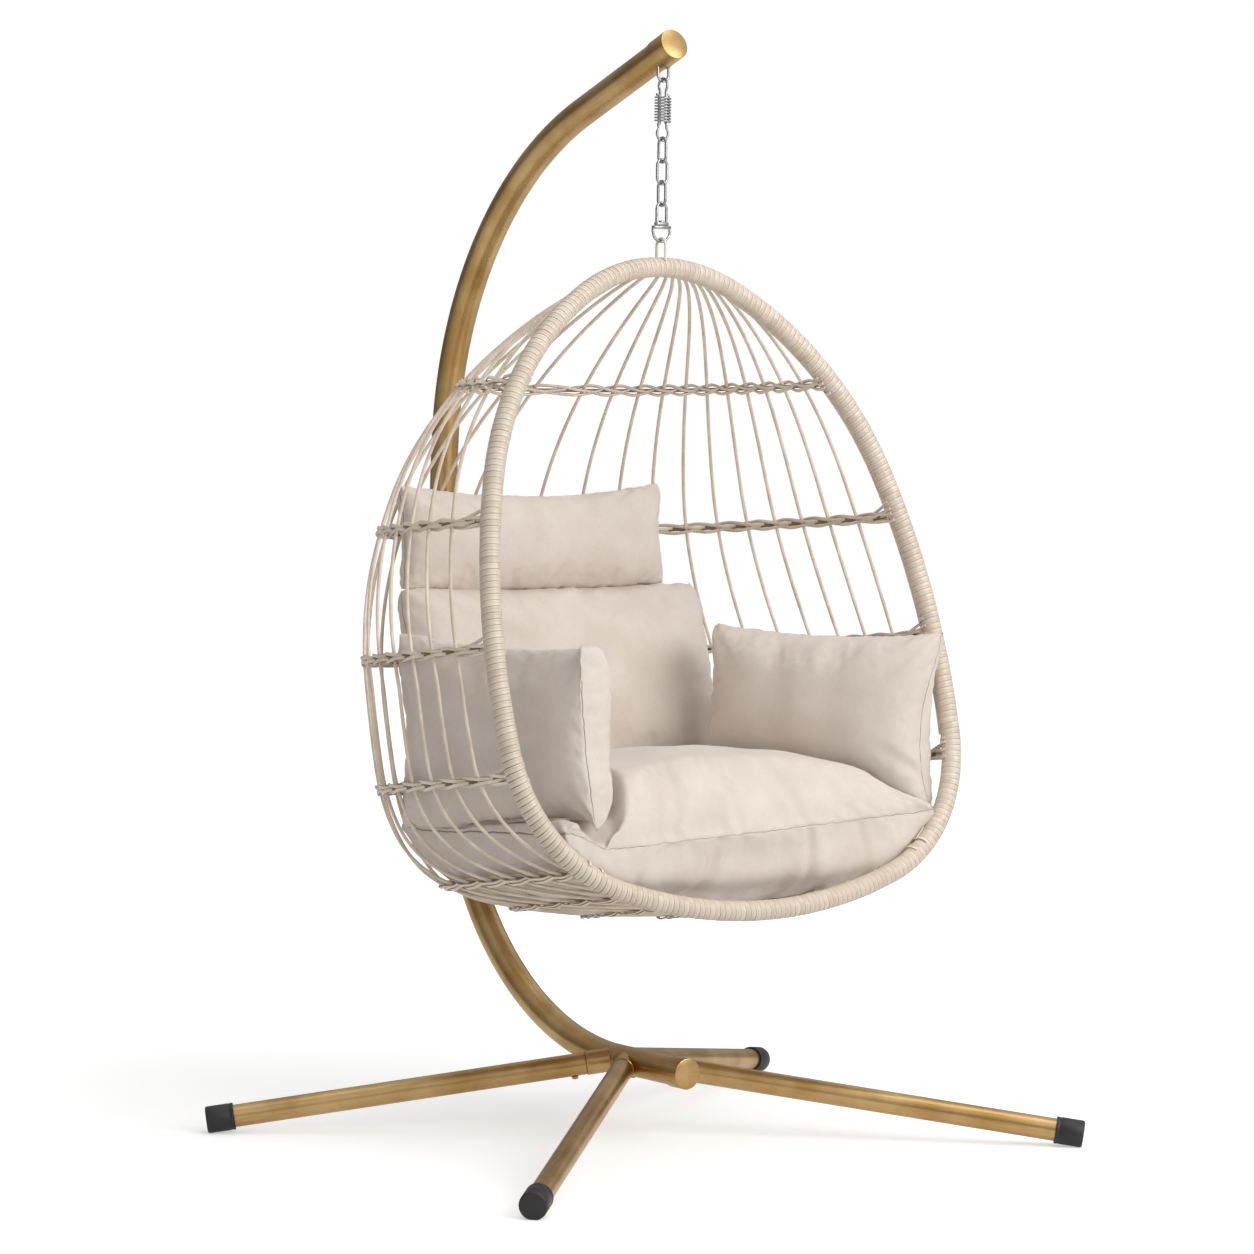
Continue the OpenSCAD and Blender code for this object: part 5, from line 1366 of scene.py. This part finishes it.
cushion("head_cushion", (0.575, 0.185, 0.100),
        pad_skin(0.575, 0.185, 0.100, 0.22, leaning(*HEAD_AT, 6), drop=0.012, full=0.24), seed=7, grid=0.0075, folds=[
            (1, 0.50, 0.00, 0.60, 0.38, 0.011, 0.0040), (1, 0.78, 0.00, 0.70, 0.32, 0.010, 0.0030),
            (1, 0.88, 1.00, 0.66, 0.62, 0.011, 0.0050), (1, 0.97, 0.96, 0.84, 0.48, 0.011, 0.0040),
            (1, 0.03, 0.96, 0.24, 0.52, 0.012, 0.0055), (1, 0.02, 0.10, 0.22, 0.36, 0.011, 0.0040)])
cushion("arm_pillow_left", (ARM_W, 0.310, ARM_T), arm_skin(ARMS[0]), seed=9,
        press=on_its_foot(ARMS[0]), folds=[
            (-1, 0.02, 0.04, 0.32, 0.26, 0.011, 0.0070), (-1, 0.00, 0.22, 0.24, 0.42, 0.010, 0.0055),
            (-1, 0.20, 0.00, 0.36, 0.22, 0.011, 0.0050), (-1, 0.01, 0.98, 0.22, 0.72, 0.011, 0.0060),
            (-1, 0.99, 0.04, 0.78, 0.30, 0.012, 0.0050), (-1, 0.98, 0.98, 0.80, 0.72, 0.012, 0.0045)])
cushion("arm_pillow_right", (ARM_W, 0.335, ARM_T), arm_skin(ARMS[1]), seed=11,
        press=on_its_foot(ARMS[1]), folds=[
            (1, 0.01, 0.98, 0.24, 0.70, 0.012, 0.0060), (1, 0.01, 0.02, 0.22, 0.30, 0.011, 0.0055),
            (1, 0.30, 1.00, 0.36, 0.56, 0.013, 0.0040), (1, 0.56, 1.00, 0.62, 0.42, 0.014, 0.0035),
            (-1, 0.01, 0.98, 0.20, 0.70, 0.011, 0.0055), (-1, 0.01, 0.02, 0.20, 0.30, 0.011, 0.0055)])


# ---------- floor, light and background ----------
def make_stage():
    floor = bpy.data.meshes.new("floor")
    size = 14.0
    floor.from_pydata([(-size, -size, 0), (size, -size, 0), (size, size, 0), (-size, size, 0)], [], [(0, 1, 2, 3)])
    material = bpy.data.materials.new("pale_floor")
    material.use_nodes = True
    net = Net(material.node_tree)
    net.tree.nodes.clear()
    ray = net.add("ShaderNodeLightPath")
    matt = net.add("ShaderNodeBsdfDiffuse", {}, {"Color": (0.80, 0.80, 0.80)})
    place = net.add("ShaderNodeTexCoord").out("Object")
    away = net.add("ShaderNodeVectorMath", {"operation": "LENGTH"}, {0: place}).out("Value")
    white = away.between(0.8, 2.3, 0.43, 0.70)
    glow = net.add("ShaderNodeEmission", {}, {"Color": (1, 1, 1), "Strength": ray.out("Is Camera Ray") * white
                                              + ray.out("Is Glossy Ray") * 0.30})
    both = net.add("ShaderNodeAddShader", {}, {0: matt, 1: glow})
    last = net.tree.nodes.new("ShaderNodeOutputMaterial")
    net.tree.links.new(both.socket, last.inputs[0])
    floor.materials.append(material)
    piece = linked("floor", floor)
    piece.location.z = -0.0004

    world = bpy.data.worlds.new("studio")
    bpy.context.scene.world = world
    world.use_nodes = True
    net = Net(world.node_tree)
    net.tree.nodes.clear()
    ray = net.add("ShaderNodeLightPath")
    seen = ray.out("Is Camera Ray").math("MAXIMUM", ray.out("Is Transmission Ray"))
    direction = net.add("ShaderNodeSeparateXYZ", {}, {0: net.add("ShaderNodeTexCoord").out("Generated")})
    height = direction.out("Z")
    shine = ray.out("Is Glossy Ray")
    plain = 0.48
    bright_side = (direction * 0.75 - direction.out("Y") * 0.66).between(-0.9, 0.9, 0.60, 1.22)
    soft = height.between(0.0, 0.85, 0.30, 0.90) * bright_side
    level = seen + (1.0 - seen) * (shine * soft + (1.0 - shine) * plain)
    sky = net.add("ShaderNodeBackground", {}, {"Color": (1, 1, 1), "Strength": level})
    last = net.tree.nodes.new("ShaderNodeOutputWorld")
    net.tree.links.new(sky.socket, last.inputs[0])

    def panel(name, at, towards, width, height_, power):
        data = bpy.data.lights.new(name, "AREA")
        data.shape = "RECTANGLE"
        data.size, data.size_y, data.energy = width, height_, power
        lamp = linked(name, data)
        lamp.location = at
        lamp.rotation_euler = (Vector(towards) - Vector(at)).to_track_quat("-Z", "Y").to_euler()

    bpy.context.scene.view_settings.view_transform = "Standard"
    panel("key", (1.1, -4.1, 2.8), (0, 0, 0.9), 4.0, 3.0, 148)
    panel("fill", (-3.6, -2.4, 1.9), (0, 0, 0.8), 1.8, 1.8, 8)
    panel("top", (0.2, -0.4, 4.2), (0, 0, 0.6), 2.4, 2.4, 36)


make_stage()
